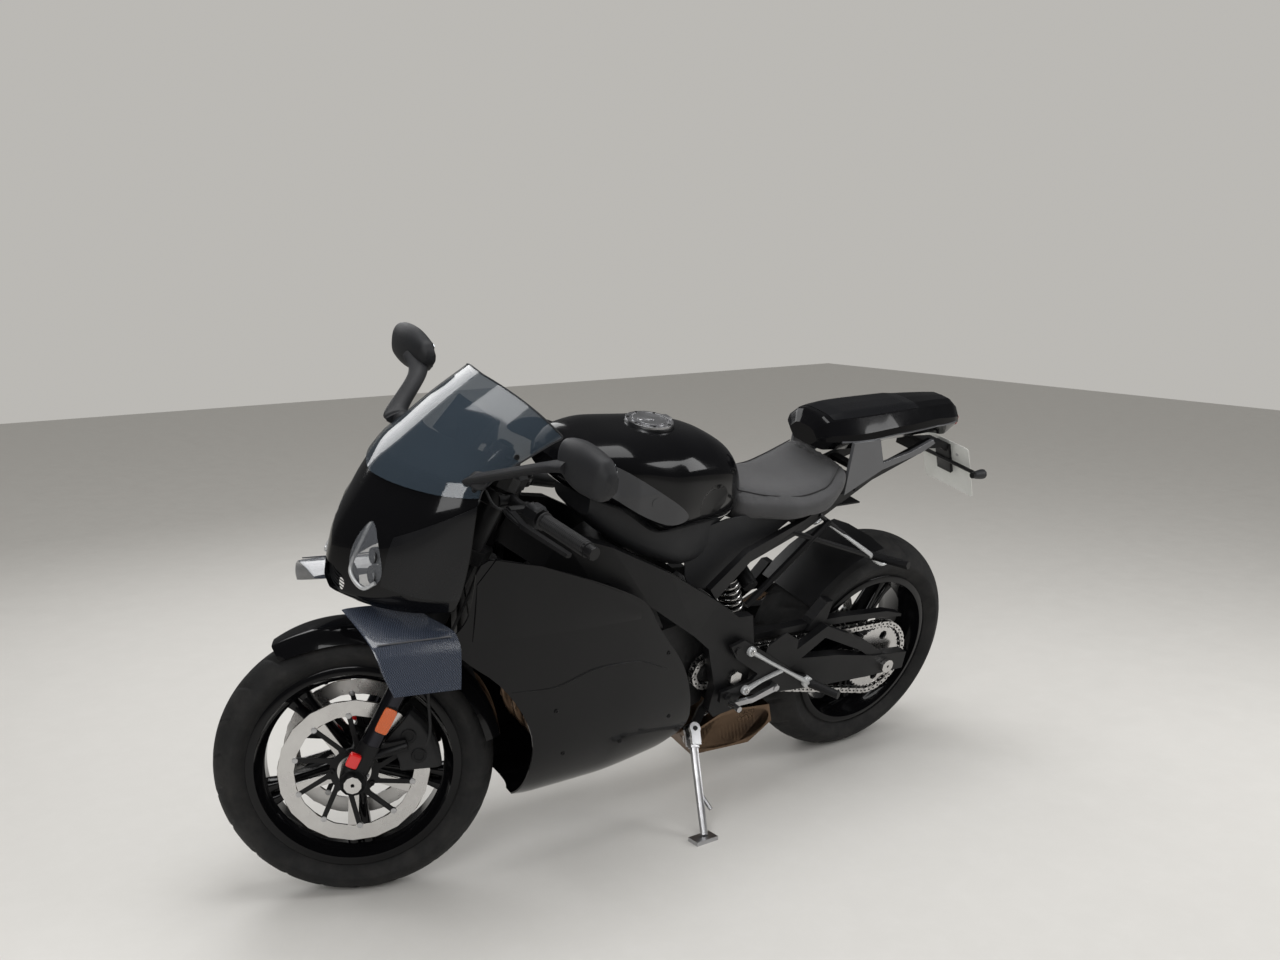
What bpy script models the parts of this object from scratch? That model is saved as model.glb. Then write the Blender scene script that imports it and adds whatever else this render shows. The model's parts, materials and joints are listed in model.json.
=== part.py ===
"""A litre-class sport motorcycle parked on its side stand, as separate sub-parts at real size.

Lengths are in metres. The pieces are modelled in the bike's own frame: X forward from the rear axle, Y to the
rider's left, Z up from the ground, the bike upright and the front wheel straight. At the end the empty Stance leans
the whole machine on its stand, and the empty Steering turns the fork to the parked angle.
"""

import math

import bmesh
import bpy
from mathutils import Matrix, Vector

# Driving dimensions of the chassis
WHEELBASE = 1.457
RAKE = math.radians(23.8)
TRAIL = 0.0998
LEAN = math.radians(13.6)
PARKED_STEER = math.radians(-28.0)
SEAT_GAP = 0.0003
SHARP_FROM = math.radians(32)

# Wheels and tyres
FRONT_RADIUS = 0.300
FRONT_HALF_WIDTH = 0.060
FRONT_CROWN = 0.055
REAR_RADIUS = 0.3225
REAR_HALF_WIDTH = 0.095
REAR_CROWN = 0.075
RIM_RADIUS = 0.2159
RIM_FLANGE = 0.013
FRONT_RIM_HALF = 0.0445
REAR_RIM_HALF = 0.0762
RIM_WALL = 0.006
TYRE_STEPS = 28
SPOKES = 5

# Axles and brakes
AXLE_RADIUS = 0.0125
AXLE_BORE = AXLE_RADIUS + SEAT_GAP
HUB_BORE = AXLE_RADIUS + 0.0006
HUB_RADIUS = 0.032
DISC_RADIUS = 0.160
DISC_BAND = 0.034
DISC_THICK = 0.005
DISC_PLANE = 0.0655
DISC_EYE = 0.025
DISC_STEPS = 20
PAD_CLEAR = 0.0050
REAR_DISC_RADIUS = 0.110
REAR_DISC_BAND = 0.030
REAR_DISC_PLANE = -0.0885

# Fork and steering head
FORK_SPREAD = 0.105
FORK_TUBE = 0.0275
SLIDER_TUBE = 0.0215
FORK_TOP = 0.748
FORK_JOIN = 0.270
STEM_RADIUS = 0.0145
HEAD_LOW = 0.545
HEAD_HIGH = 0.715
CLAMP_THICK = 0.026
BAR_CLAMP = 0.675

# Final drive
CHAIN_PLANE = 0.1135
CHAIN_PITCH = 0.015875
CHAIN_HALF_HEIGHT = 0.0075
REAR_TEETH = 41
FRONT_TEETH = 16
FRONT_SPROCKET = (0.600, 0.405)
CHAIN_CLEAR = 0.0012

# Swingarm
PIVOT = (0.540, 0.398)
ARM_PLANE = 0.1475
ARM_THICK = 0.030
FRAME_PLANE = 0.1410
FRAME_THICK = 0.025

# Side stand, in the bike's own frame
STAND_PIVOT = Vector((0.630, 0.135, 0.255))
STAND_FOOT = Vector((0.6929, 0.3174, 0.0722))

BIKE_PARTS = bpy.data.collections.new("sport_motorcycle")
WORKSHOP = bpy.data.collections.new("workshop")


def clear_scene():
    for old in list(bpy.data.objects):
        bpy.data.objects.remove(old, do_unlink=True)
    bpy.context.scene.collection.children.link(BIKE_PARTS)
    bpy.context.scene.collection.children.link(WORKSHOP)


def material(name, colour, roughness, metallic=0.0, alpha=1.0):
    made = bpy.data.materials.new(name)
    made.use_nodes = True
    shader = made.node_tree.nodes["Principled BSDF"]
    shader.inputs["Base Color"].default_value = (*colour, 1.0)
    shader.inputs["Roughness"].default_value = roughness
    shader.inputs["Metallic"].default_value = metallic
    shader.inputs["Alpha"].default_value = alpha
    made.diffuse_color = (*colour, alpha)
    made.roughness = roughness
    made.metallic = metallic
    return made


# Modelling helpers. Each returns a work object that publish() turns into a node.


def work_object(name, mesh):
    obj = bpy.data.objects.new(name, mesh)
    WORKSHOP.objects.link(obj)
    return obj


def from_bmesh(name, shape):
    bmesh.ops.remove_doubles(shape, verts=shape.verts, dist=1e-6)
    bmesh.ops.recalc_face_normals(shape, faces=shape.faces)
    mesh = bpy.data.meshes.new(name)
    shape.to_mesh(mesh)
    shape.free()
    return work_object(name, mesh)


def bake(obj):
    """The object's evaluated mesh as a new work object, in place of the old one."""
    graph = bpy.context.evaluated_depsgraph_get()
    graph.update()
    mesh = bpy.data.meshes.new_from_object(obj.evaluated_get(graph), depsgraph=graph)
    mesh.transform(obj.matrix_world)
    name = obj.name
    bpy.data.objects.remove(obj, do_unlink=True)
    shape = bmesh.new()
    shape.from_mesh(mesh)
    return from_bmesh(name, shape)


def box(size, centre, turn=None):
    shape = bmesh.new()
    place = Matrix.Translation(centre) @ (turn or Matrix()).to_4x4() @ Matrix.Diagonal((*size, 1.0))
    bmesh.ops.create_cube(shape, size=1.0, matrix=place)
    return from_bmesh("box", shape)


def rod(start, end, radius, end_radius=None, sides=10):
    """A cylinder or cone from start to end."""
    start, end = Vector(start), Vector(end)
    run = end - start
    place = Matrix.Translation((start + end) / 2) @ run.to_track_quat("Z", "Y").to_matrix().to_4x4()
    shape = bmesh.new()
    bmesh.ops.create_cone(
        shape,
        cap_ends=True,
        segments=sides,
        radius1=radius,
        radius2=radius if end_radius is None else end_radius,
        depth=run.length,
        matrix=place,
    )
    return from_bmesh("rod", shape)


def across(centre, near, far, radius, sides=16):
    """A cylinder along Y at centre (x, z), from y near to y far."""
    return rod((centre[0], near, centre[1]), (centre[0], far, centre[1]), radius, sides=sides)


def tube(points, radius, resolution=1):
    """A round bar through the points, as a bevelled poly curve with filled caps."""
    curve = bpy.data.curves.new("tube", "CURVE")
    curve.dimensions = "3D"
    curve.bevel_depth = radius
    curve.bevel_resolution = resolution
    curve.use_fill_caps = True
    line = curve.splines.new("POLY")
    line.points.add(len(points) - 1)
    for point, at in zip(line.points, points):
        point.co = (*at, 1.0)
    return bake(work_object("tube", curve))


def turned(profile, steps, centre=(0.0, 0.0, 0.0)):
    """A closed profile of (y, radius) pairs spun about the Y axis through centre."""
    shape = bmesh.new()
    points = [shape.verts.new((0.0, y, radius)) for y, radius in profile]
    edges = [shape.edges.new((points[i - 1], points[i])) for i in range(len(points))]
    bmesh.ops.spin(
        shape,
        geom=points + edges,
        cent=(0, 0, 0),
        axis=(0, 1, 0),
        angle=math.tau,
        steps=steps,
        use_merge=True,
    )
    bmesh.ops.translate(shape, verts=shape.verts, vec=centre)
    return from_bmesh("turned", shape)


def plate(outline, near, far):
    """A flat outline of (x, z) points, extruded along Y from near to far."""
    shape = bmesh.new()
    face = shape.faces.new([shape.verts.new((x, near, z)) for x, z in outline])
    grown = bmesh.ops.extrude_face_region(shape, geom=[face])["geom"]
    moved = [v for v in grown if isinstance(v, bmesh.types.BMVert)]
    bmesh.ops.translate(shape, verts=moved, vec=(0, far - near, 0))
    return from_bmesh("plate", shape)


def arc(centre, radius, start, end, steps):
    """Points on an arc in a plane, angles in degrees."""
    turns = [math.radians(start + (end - start) * i / steps) for i in range(steps + 1)]
    return [(centre[0] + radius * math.cos(a), centre[1] + radius * math.sin(a)) for a in turns]


def loft(rings):
    """A closed solid through rings of equal point counts, capped at both ends."""
    shape = bmesh.new()
    rows = [[shape.verts.new(point) for point in ring] for ring in rings]
    count = len(rows[0])
    for row, after in zip(rows, rows[1:]):
        for i in range(count):
            j = (i + 1) % count
            shape.faces.new((row[i], row[j], after[j], after[i]))
    shape.faces.new(rows[0])
    shape.faces.new(rows[-1])
    return from_bmesh("loft", shape)


def oval(x, half, low, high, power=2.6, sides=14, side_shift=0.0):
    """A superellipse ring across the bike at x."""
    middle, rise = (low + high) / 2, (high - low) / 2
    ring = []
    for i in range(sides):
        turn = math.tau * (i + 0.5) / sides
        c, s = math.cos(turn), math.sin(turn)
        y = half * math.copysign(abs(c) ** (2 / power), c) + side_shift
        z = middle + rise * math.copysign(abs(s) ** (2 / power), s)
        ring.append((x, y, z))
    return ring


def beam(stations, up=(0, 0, 1), chamfer=0.0):
    """A box section, chamfered on request, swept through stations of (x, y, z, height, width)."""
    up = Vector(up)
    places = [Vector(s[:3]) for s in stations]
    rings = []
    for i, (x, y, z, height, width) in enumerate(stations):
        run = (places[min(i + 1, len(places) - 1)] - places[max(i - 1, 0)]).normalized()
        side = run.cross(up).normalized()
        rise = side.cross(run)
        cut = chamfer * min(height, width)
        h, w = height / 2, width / 2
        corners = [(w - cut, h), (w, h - cut), (w, cut - h), (w - cut, -h)] if chamfer else [(w, h), (w, -h)]
        corners += [(-a, b) for a, b in reversed(corners)]
        rings.append([places[i] + side * a + rise * b for a, b in corners])
    return loft(rings)


def shell(surface, steps_u, steps_v, thickness):
    """A skin of this thickness over the grid surface(u, v), u and v from 0 to 1, thick towards its back."""
    shape = bmesh.new()
    bmesh.ops.create_grid(shape, x_segments=steps_u, y_segments=steps_v, size=0.5)
    for v in shape.verts:
        v.co = Vector(surface(v.co.x + 0.5, v.co.y + 0.5))
    mesh = bpy.data.meshes.new("shell")
    shape.to_mesh(mesh)
    shape.free()
    skin = work_object("shell", mesh)
    solid = skin.modifiers.new("Solidify", "SOLIDIFY")
    solid.thickness = thickness
    solid.offset = -1.0
    solid.use_even_offset = True
    return bake(skin)


def mirrored(obj):
    """A copy on the other side of the bike's centre plane."""
    mesh = obj.data.copy()
    mesh.transform(Matrix.Scale(-1, 4, (0, 1, 0)))
    mesh.flip_normals()
    return work_object(obj.name, mesh)


def moved(obj, matrix):
    obj.data.transform(matrix)
    return obj


def boolean(base, other, operation):
    step = base.modifiers.new(operation, "BOOLEAN")
    step.operation = operation
    step.solver = "EXACT"
    step.object = other
    done = bake(base)
    bpy.data.objects.remove(other, do_unlink=True)
    return done


def fuse(*pieces):
    base = pieces[0]
    for piece in pieces[1:]:
        base = boolean(base, piece, "UNION")
    return base


def cut(base, *cutters):
    for cutter in cutters:
        base = boolean(base, cutter, "DIFFERENCE")
    return base


def clip(base, keeper):
    return boolean(base, keeper, "INTERSECT")


def publish(obj, name, look, parent):
    obj.name = name
    obj.data.name = name
    obj.data.materials.clear()
    obj.data.materials.append(look)
    obj.data.shade_smooth()
    obj.data.set_sharp_from_angle(angle=SHARP_FROM)
    WORKSHOP.objects.unlink(obj)
    BIKE_PARTS.objects.link(obj)
    attach(obj, parent)
    return obj


def attach(obj, parent):
    """Parents without moving: the mesh stays in the bike's own frame."""
    obj.parent = parent
    obj.matrix_parent_inverse = BUILD_PLACE[parent.name].inverted()


BUILD_PLACE = {}


def empty(name, place, parent=None):
    """An empty at a place in the bike's own frame."""
    made = bpy.data.objects.new(name, None)
    made.empty_display_size = 0.1
    BIKE_PARTS.objects.link(made)
    BUILD_PLACE[name] = place
    if parent:
        made.parent = parent
        made.matrix_parent_inverse = BUILD_PLACE[parent.name].inverted()
    made.matrix_basis = place
    return made


# Fork geometry. The fork axis lies ahead of the steering axis by FORK_OFFSET.
AXIS_UP = Vector((-math.sin(RAKE), 0, math.cos(RAKE)))
AXIS_FOOT = Vector((WHEELBASE + TRAIL, 0, 0))
FRONT_AXLE = Vector((WHEELBASE, 0, FRONT_RADIUS))
REAR_AXLE = Vector((0, 0, REAR_RADIUS))
FORK_OFFSET = FRONT_RADIUS * math.sin(RAKE) - TRAIL * math.cos(RAKE)
AXIS_FORWARD = Vector((math.cos(RAKE), 0, math.sin(RAKE)))


def on_fork(along, y=0.0, ahead=0.0):
    """A point at a distance up the fork from the axle, and ahead of the fork's own plane."""
    return FRONT_AXLE + AXIS_UP * along + AXIS_FORWARD * ahead + Vector((0, y, 0))


# Wheels


def tyre(radius, half_width, crown, rim_half, centre):
    """A tyre seated on its rim: round tread, sidewalls and beads, in one closed section."""
    outer = []
    for i in range(-2, 3):
        turn = math.radians(77) * i / 2
        y = half_width * math.sin(turn) / math.sin(math.radians(77))
        outer.append((y, radius - crown + crown * math.cos(turn)))
    bead = RIM_RADIUS + SEAT_GAP
    wall = rim_half - SEAT_GAP
    flange_top = RIM_RADIUS + RIM_FLANGE + 0.003
    profile = [(-wall, bead), (-wall, flange_top), *outer, (wall, flange_top), (wall, bead)]
    return turned(profile, TYRE_STEPS, centre)


def rim(rim_half, hub_ends, spoke_width, centre):
    """A cast rim: barrel and flanges, a hub with the axle's bore, and spokes that taper to the barrel."""
    edge = rim_half + 0.006
    well = RIM_RADIUS - 0.020
    top = RIM_RADIUS + RIM_FLANGE
    barrel = [
        (-edge, top), (-rim_half, RIM_RADIUS), (rim_half, RIM_RADIUS), (edge, top), (edge, RIM_RADIUS - RIM_WALL),
        (rim_half * 0.45, well - RIM_WALL), (-rim_half * 0.45, well - RIM_WALL), (-edge, RIM_RADIUS - RIM_WALL),
    ]  # fmt: skip
    wheel = turned(barrel, TYRE_STEPS, centre)
    low, high = hub_ends
    flange = HUB_RADIUS + 0.018
    hub = turned(
        [
            (low, HUB_BORE), (low, flange), (low + 0.012, HUB_RADIUS),
            (high - 0.012, HUB_RADIUS), (high, flange), (high, HUB_BORE),
        ],
        12,
        centre,
    )  # fmt: skip
    pieces = [wheel]
    for i in range(SPOKES):
        turn = Matrix.Translation(centre) @ Matrix.Rotation(math.tau * i / SPOKES + math.radians(5), 4, "Y")
        spoke = beam(
            [
                (0, 0, -HUB_RADIUS + 0.008, 0.036, spoke_width * 1.35),
                (0, 0, -well + 0.004, 0.030, spoke_width),
            ],
            up=(1, 0, 0),
            chamfer=0.25,
        )
        pieces.append(moved(spoke, turn))
    pieces.append(hub)
    return fuse(*pieces)


def disc(radius, band, plane, centre, mount_radius=0.052, arms=5):
    """A brake disc: the swept band, and a carrier whose arms reach the hub."""
    half = DISC_THICK / 2
    ring = turned(
        [(plane - half, radius - band), (plane - half, radius), (plane + half, radius), (plane + half, radius - band)],
        DISC_STEPS,
        centre,
    )
    inner = turned(
        [
            (plane - half, DISC_EYE),
            (plane - half, mount_radius),
            (plane + half, mount_radius),
            (plane + half, DISC_EYE),
        ],
        10,
        centre,
    )
    pieces = [ring, inner]
    for i in range(arms):
        turn = Matrix.Translation(Vector(centre)) @ Matrix.Rotation(math.tau * (i + 0.5) / arms, 4, "Y")
        middle = (mount_radius + radius - band) / 2
        length = radius - band - mount_radius + 0.016
        pieces.append(moved(box((0.022, DISC_THICK * 0.9, length), (0, plane, middle)), turn))
    return fuse(*pieces)


# Body surfaces. Widths and heights of the skin at stations along the bike.


def blend(table, at):
    """Smooth value of a table of (place, value) pairs, eased between its stations."""
    if at <= table[0][0]:
        return table[0][1]
    for (a, va), (b, vb) in zip(table, table[1:]):
        if at <= b:
            t = (at - a) / (b - a)
            return va + (vb - va) * t * t * (3 - 2 * t)
    return table[-1][1]


# Nose, screen and fairing skins. Each row of a table is a station down or along the skin.

# Down the nose and screen: share of the way, ridge x and z, edge x, y and z
FRONT_ROWS = (
    (0.00, 1.520, 0.722, 1.345, 0.178, 0.735),
    (0.08, 1.556, 0.752, 1.340, 0.196, 0.785),
    (0.22, 1.545, 0.846, 1.335, 0.208, 0.880),
    (0.38, 1.506, 0.928, 1.330, 0.204, 0.955),
    (0.55, 1.452, 1.006, 1.318, 0.190, 1.003),
    (0.72, 1.392, 1.062, 1.262, 0.186, 1.040),
    (0.86, 1.322, 1.118, 1.205, 0.190, 1.072),
    (1.00, 1.236, 1.176, 1.150, 0.192, 1.100),
)
NOSE_TOP = 0.60
SCREEN_START = 0.50
NOSE_WALL = 0.004
SCREEN_WALL = 0.004
SCREEN_STEP = 0.0018


def front_skin(side, down):
    """Nose and screen skin: side from -1 to 1 around the ridge, down from 0 at the chin to 1 at the screen's top."""
    column = [blend([(row[0], row[k]) for row in FRONT_ROWS], down) for k in range(1, 6)]
    ridge_x, ridge_z, edge_x, edge_y, edge_z = column
    t = abs(side)
    y = edge_y * (1 - (1 - t) ** 1.55)
    x = ridge_x + (edge_x - ridge_x) * t**1.45
    z = ridge_z + (edge_z - ridge_z) * t**1.9
    return Vector((x, math.copysign(y, side), z))


# Along the side fairing: x, half width, keel height, top height
SIDE_ROWS = (
    (0.560, 0.165, 0.205, 0.62),
    (0.740, 0.196, 0.178, 0.66),
    (0.920, 0.212, 0.160, 0.76),
    (1.080, 0.216, 0.160, 0.84),
    (1.220, 0.212, 0.190, 0.88),
    (1.420, 0.172, 0.250, 0.90),
)
SHOULDER = 0.46
FAIRING_WALL = 0.004
KEEL_GAP = 0.0008


def side_skin(along, down):
    """Left side fairing: along from 0 at the rear to 1 at the front, down from 0 at its top edge to 1 at the keel."""
    x = SIDE_ROWS[0][0] + (SIDE_ROWS[-1][0] - SIDE_ROWS[0][0]) * along
    half, keel, top = (blend([(row[0], row[k]) for row in SIDE_ROWS], x) for k in (1, 2, 3))
    if down < 0.45:
        t = down / 0.45
        return Vector((x, half * (0.94 + 0.06 * math.sin(t * math.pi / 2)), top + (SHOULDER - top) * t))
    q = (down - 0.45) / 0.55 * math.pi / 2
    y = KEEL_GAP + (half - KEEL_GAP) * math.cos(q) ** 0.8
    return Vector((x, y, SHOULDER - (SHOULDER - keel) * math.sin(q) ** 0.9))


SIDE_OUTLINE = [
    (0.765, 0.140), (0.740, 0.240), (0.668, 0.290), (0.700, 0.400), (0.745, 0.505), (0.835, 0.610), (0.880, 0.690),
    (0.960, 0.735), (1.080, 0.790), (1.200, 0.835), (1.312, 0.862), (1.318, 0.760), (1.326, 0.715),
    (1.360, 0.675), (1.330, 0.630), (1.235, 0.560), (1.150, 0.430), (1.135, 0.310), (1.130, 0.140),
]  # fmt: skip


def skin_frame(side, down):
    """A point of the nose and screen skin, and the direction that faces out there."""
    at = front_skin(side, down)
    along = front_skin(side + 0.01, down) - at
    up = front_skin(side, down + 0.01) - at
    out = along.cross(up).normalized()
    return at, out if out.x > 0 else -out


def nose_skin(u, v):
    """The nose lies under the screen's foot by the screen's wall and a step."""
    at, out = skin_frame(min(2 * u - 1, 0.99), min(v * NOSE_TOP, 0.985))
    return at - out * (SCREEN_WALL + SCREEN_STEP)


def nose_cowl():
    nose = shell(nose_skin, 10, 6, NOSE_WALL)
    for side in (1, -1):
        nose = cut(nose, lamp_window(side, 0.0))
    return nose


LAMP_OUTLINE = [(0.048, 0.800), (0.092, 0.772), (0.118, 0.800), (0.112, 0.850), (0.082, 0.905), (0.058, 0.915)]
LAMP_FIT = 0.0006


def lamp_window(side, inset):
    """A prism along X over one lamp's outline of (y, z) points, drawn in by inset."""
    middle = [sum(p[k] for p in LAMP_OUTLINE) / len(LAMP_OUTLINE) for k in (0, 1)]
    shape = bmesh.new()
    points = []
    for y, z in LAMP_OUTLINE:
        away = Vector((y - middle[0], z - middle[1]))
        shrunk = Vector(middle) + away * (1 - inset / away.length)
        points.append(shape.verts.new((1.30, side * shrunk.x, shrunk.y)))
    face = shape.faces.new(points)
    grown = bmesh.ops.extrude_face_region(shape, geom=[face])["geom"]
    far = [v for v in grown if isinstance(v, bmesh.types.BMVert)]
    bmesh.ops.translate(shape, verts=far, vec=(0.35, 0, 0))
    return from_bmesh("window", shape)


def headlight():
    """Both lenses in their windows, and the lamp body that joins them behind the nose."""
    pieces = [box((0.030, 0.235, 0.060), (1.418, 0, 0.845))]
    for side in (1, -1):
        skin = shell(nose_skin, 10, 6, NOSE_WALL)
        lens = clip(skin, lamp_window(side, LAMP_FIT))
        pieces.append(lens)
        pieces.append(box((0.075, 0.026, 0.040), (1.452, side * 0.082, 0.845)))
    return fuse(*pieces)


def screen():
    def surface(u, v):
        return front_skin((2 * u - 1) * 0.985, SCREEN_START + v * (1 - SCREEN_START))

    return shell(surface, 10, 4, SCREEN_WALL)


def side_fairing():
    skin = shell(side_skin, 7, 8, FAIRING_WALL)
    skin = clip(skin, plate(SIDE_OUTLINE, -0.01, 0.30))
    return fuse(skin, rod((0.965, 0.1530, 0.722), (0.965, 0.204, 0.722), 0.007, sides=8))


# Winglet stations from root to tip: leading x, trailing x, y, leading z, trailing z, thickness
WINGLET_ROWS = (
    (1.545, 1.405, 0.0750, 0.7270, 0.7170, 0.010),
    (1.535, 1.346, 0.1950, 0.708, 0.698, 0.010),
    (1.509, 1.365, 0.2610, 0.626, 0.612, 0.006),
)


def winglet():
    rings = []
    for lead, trail, y, lead_z, trail_z, thick in WINGLET_ROWS:
        ring = []
        for share, rise in ((0, 0), (0.2, 0.5), (0.6, 0.4), (1, 0.05), (1, -0.05), (0.6, -0.4), (0.2, -0.5)):
            x = lead + (trail - lead) * share
            z = lead_z + (trail_z - lead_z) * share
            ring.append((x, y + rise * thick * 0.6, z + rise * thick))
        rings.append(ring)
    return loft(rings)


# Tank, seat and tail: x, half width, low, high, power of the section
TANK_ROWS = (
    (0.556, 0.060, 0.800, 0.880, 2.4),
    (0.572, 0.088, 0.795, 0.935, 2.5),
    (0.610, 0.116, 0.790, 0.985, 2.5),
    (0.690, 0.144, 0.790, 1.018, 2.6),
    (0.800, 0.162, 0.790, 1.034, 2.7),
    (0.910, 0.158, 0.860, 1.036, 2.8),
    (0.990, 0.132, 0.895, 1.030, 2.8),
    (1.048, 0.092, 0.930, 1.008, 2.6),
    (1.066, 0.062, 0.945, 0.985, 2.4),
)
SEAT_ROWS = (
    (0.575, 0.050, 0.792, 0.835, 2.4),
    (0.548, 0.082, 0.780, 0.862, 2.6),
    (0.480, 0.118, 0.785, 0.858, 3.0),
    (0.400, 0.146, 0.790, 0.855, 3.4),
    (0.320, 0.152, 0.803, 0.872, 3.4),
    (0.272, 0.138, 0.832, 0.905, 3.0),
    (0.248, 0.120, 0.848, 0.925, 2.8),
)
TAIL_ROWS = (
    (0.315, 0.050, 0.945, 0.990, 2.4),
    (0.290, 0.088, 0.938, 1.022, 2.8),
    (0.200, 0.104, 0.938, 1.030, 3.0),
    (0.060, 0.100, 0.950, 1.034, 3.0),
    (-0.080, 0.082, 0.950, 1.038, 2.8),
    (-0.165, 0.066, 0.936, 1.036, 2.6),
    (-0.198, 0.052, 0.945, 1.018, 2.4),
)
CAP_AT = Vector((0.800, 0.0, 1.034))
CAP_RADIUS = 0.056
CAP_RISE = 0.008


def grown(rows, by=0.001):
    """The same rows with every section a little larger, for what must keep clear of them."""
    larger = [(x, half + by, low - by, high + by, power) for x, half, low, high, power in rows]
    outward = math.copysign(by, rows[-1][0] - rows[0][0])
    larger[0] = (rows[0][0] - outward, *larger[0][1:])
    larger[-1] = (rows[-1][0] + outward, *larger[-1][1:])
    return larger


def body_from(rows):
    return loft([oval(*row) for row in rows])


def tank():
    solid = body_from(TANK_ROWS)
    return cut(solid, rod(CAP_AT - Vector((0, 0, 0.030)), CAP_AT + Vector((0, 0, 0.05)), CAP_RADIUS + SEAT_GAP, sides=16))


def filler_cap():
    """The cap's ring and its hinged lid, seated in the tank's well."""
    floor = CAP_AT - Vector((0, 0, 0.030 - SEAT_GAP))
    top = CAP_AT + Vector((0, 0, CAP_RISE))
    ring = rod(floor, top, CAP_RADIUS, sides=16)
    dish = rod(top - Vector((0, 0, 0.003)), top + Vector((0, 0, 0.01)), CAP_RADIUS - 0.008, sides=16)
    lid = rod(top - Vector((0, 0, 0.006)), top + Vector((0, 0, 0.002)), CAP_RADIUS - 0.016, sides=16)
    hinge = box((0.016, 0.026, 0.010), top + Vector((-CAP_RADIUS + 0.010, 0, -0.001)))
    return fuse(cut(ring, dish), lid, hinge)


COVER_OUTLINE = [
    (1.085, 0.985), (1.045, 1.012), (0.985, 1.008), (0.900, 0.960), (0.800, 0.895),
    (0.785, 0.868), (0.840, 0.860), (0.920, 0.895), (1.010, 0.952),
]  # fmt: skip
COVER_STAND_OFF = 0.0010
COVER_WALL = 0.004


def tank_side(x, z, stand_off):
    """Half width of the tank's side at x and z, plus a stand-off."""
    half, low, high, power = (blend([(row[0], row[k]) for row in TANK_ROWS], x) for k in (1, 2, 3, 4))
    lift = min(0.98, abs(z - (low + high) / 2) / ((high - low) / 2))
    return half * (1 - lift**power) ** (1 / power) + stand_off


def tank_cover():
    """A textured cover that flares off the tank's side ahead of the rider's knee."""

    def surface(u, v):
        x = 0.77 + 0.33 * u
        z = 0.85 + 0.17 * v
        flare = 0.018 + 0.030 * u
        return Vector((x, min(tank_side(min(x, 0.98), 0.93, flare), 0.185) - 0.05 * max(0, v - 0.55), z))

    skin = shell(surface, 6, 4, COVER_WALL)
    skin = clip(skin, plate(COVER_OUTLINE, 0.05, 0.30))
    skin = fuse(skin, rod((0.89, 0.130, 0.925), (0.89, 0.187, 0.925), 0.010, sides=8))
    return cut(skin, body_from(grown(TANK_ROWS, SEAT_GAP)))


def rider_seat():
    return cut(body_from(SEAT_ROWS), body_from(grown(TANK_ROWS)))


UNDER_TAIL = [
    (0.244, 0.834), (0.120, 0.888), (-0.020, 0.918), (-0.070, 0.940), (-0.060, 0.952),
    (0.020, 0.926), (0.120, 0.908), (0.150, 0.974), (0.244, 0.974),
]  # fmt: skip


def tail_cowl():
    """The tail's upper shell, with the side fins that leave an air gap below it."""
    solid = body_from(TAIL_ROWS)
    return solid


FIN_PLANE = 0.092
FIN_SPLAY = math.radians(2.5)


def fin_inner(x):
    """How far out the fin's inner face lies at x."""
    return FIN_PLANE + x * math.sin(FIN_SPLAY)


def tail_fin():
    fin = plate(UNDER_TAIL, 0.0, 0.010)
    fin = moved(fin, Matrix.Translation((0, FIN_PLANE, 0)) @ Matrix.Rotation(FIN_SPLAY, 4, "Z"))
    return cut(fin, body_from(grown(TAIL_ROWS, SEAT_GAP)))


# Chassis


def head_point(along, y=0.0, ahead=0.0):
    """A point on the steering axis beside the fork, at a distance up from the axle's level."""
    return on_fork(along, y, ahead - FORK_OFFSET)


# One spar of the frame, from the head to the swingarm plate: x, y, z, height, width
SPAR_ROWS = (
    (1.168, 0.024, 0.846, 0.076, 0.036),
    (1.085, 0.098, 0.802, 0.094, 0.032),
    (0.980, 0.138, 0.772, 0.092, 0.028),
    (0.820, 0.150, 0.690, 0.088, 0.026),
    (0.660, FRAME_PLANE + 0.001, 0.580, 0.100, FRAME_THICK),
    (0.560, FRAME_PLANE, 0.500, 0.110, FRAME_THICK),
)
PIVOT_PLATE = [
    (0.515, 0.565), (0.490, 0.470), (0.492, 0.380), (0.520, 0.300), (0.585, 0.292), (0.604, 0.315),
    (0.598, 0.380), (0.640, 0.500), (0.615, 0.570),
]  # fmt: skip
PIVOT_BOLT = 0.010


def main_frame():
    """Twin spars from a head tube to the swingarm plates, with the side stand's bracket on the left."""
    low = HEAD_LOW + CLAMP_THICK / 2 + SEAT_GAP
    high = HEAD_HIGH - CLAMP_THICK / 2 - SEAT_GAP
    frame = rod(head_point(low), head_point(high), 0.032, sides=12)
    for side in (1, -1):
        rows = [(x, side * y, z, h, w) for x, y, z, h, w in SPAR_ROWS]
        near, far = FRAME_PLANE - FRAME_THICK / 2, FRAME_PLANE + FRAME_THICK / 2
        ends = sorted((side * near, side * far))
        frame = fuse(frame, beam(rows), plate(PIVOT_PLATE, *ends))
    for x, z in ((0.545, 0.545), (0.560, 0.315)):
        frame = fuse(frame, across((x, z), -FRAME_PLANE, FRAME_PLANE, 0.013, sides=6))
    lug = stand_bracket()
    frame = fuse(frame, lug)
    stem = rod(head_point(low - 0.02), head_point(high + 0.02), STEM_RADIUS + 0.0005, sides=12)
    bolt = across(PIVOT, -0.2, 0.2, PIVOT_BOLT + SEAT_GAP, sides=12)
    return cut(frame, stem, bolt)


# Side stand. Its hinge axis is square to the leg, so that the leg folds back along the bike.
STAND_REACH = STAND_FOOT - STAND_PIVOT
STAND_AXIS = Vector((0, -STAND_REACH.z, STAND_REACH.y)).normalized()
STAND_EYE = 0.016
STAND_PIN = 0.006


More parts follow.
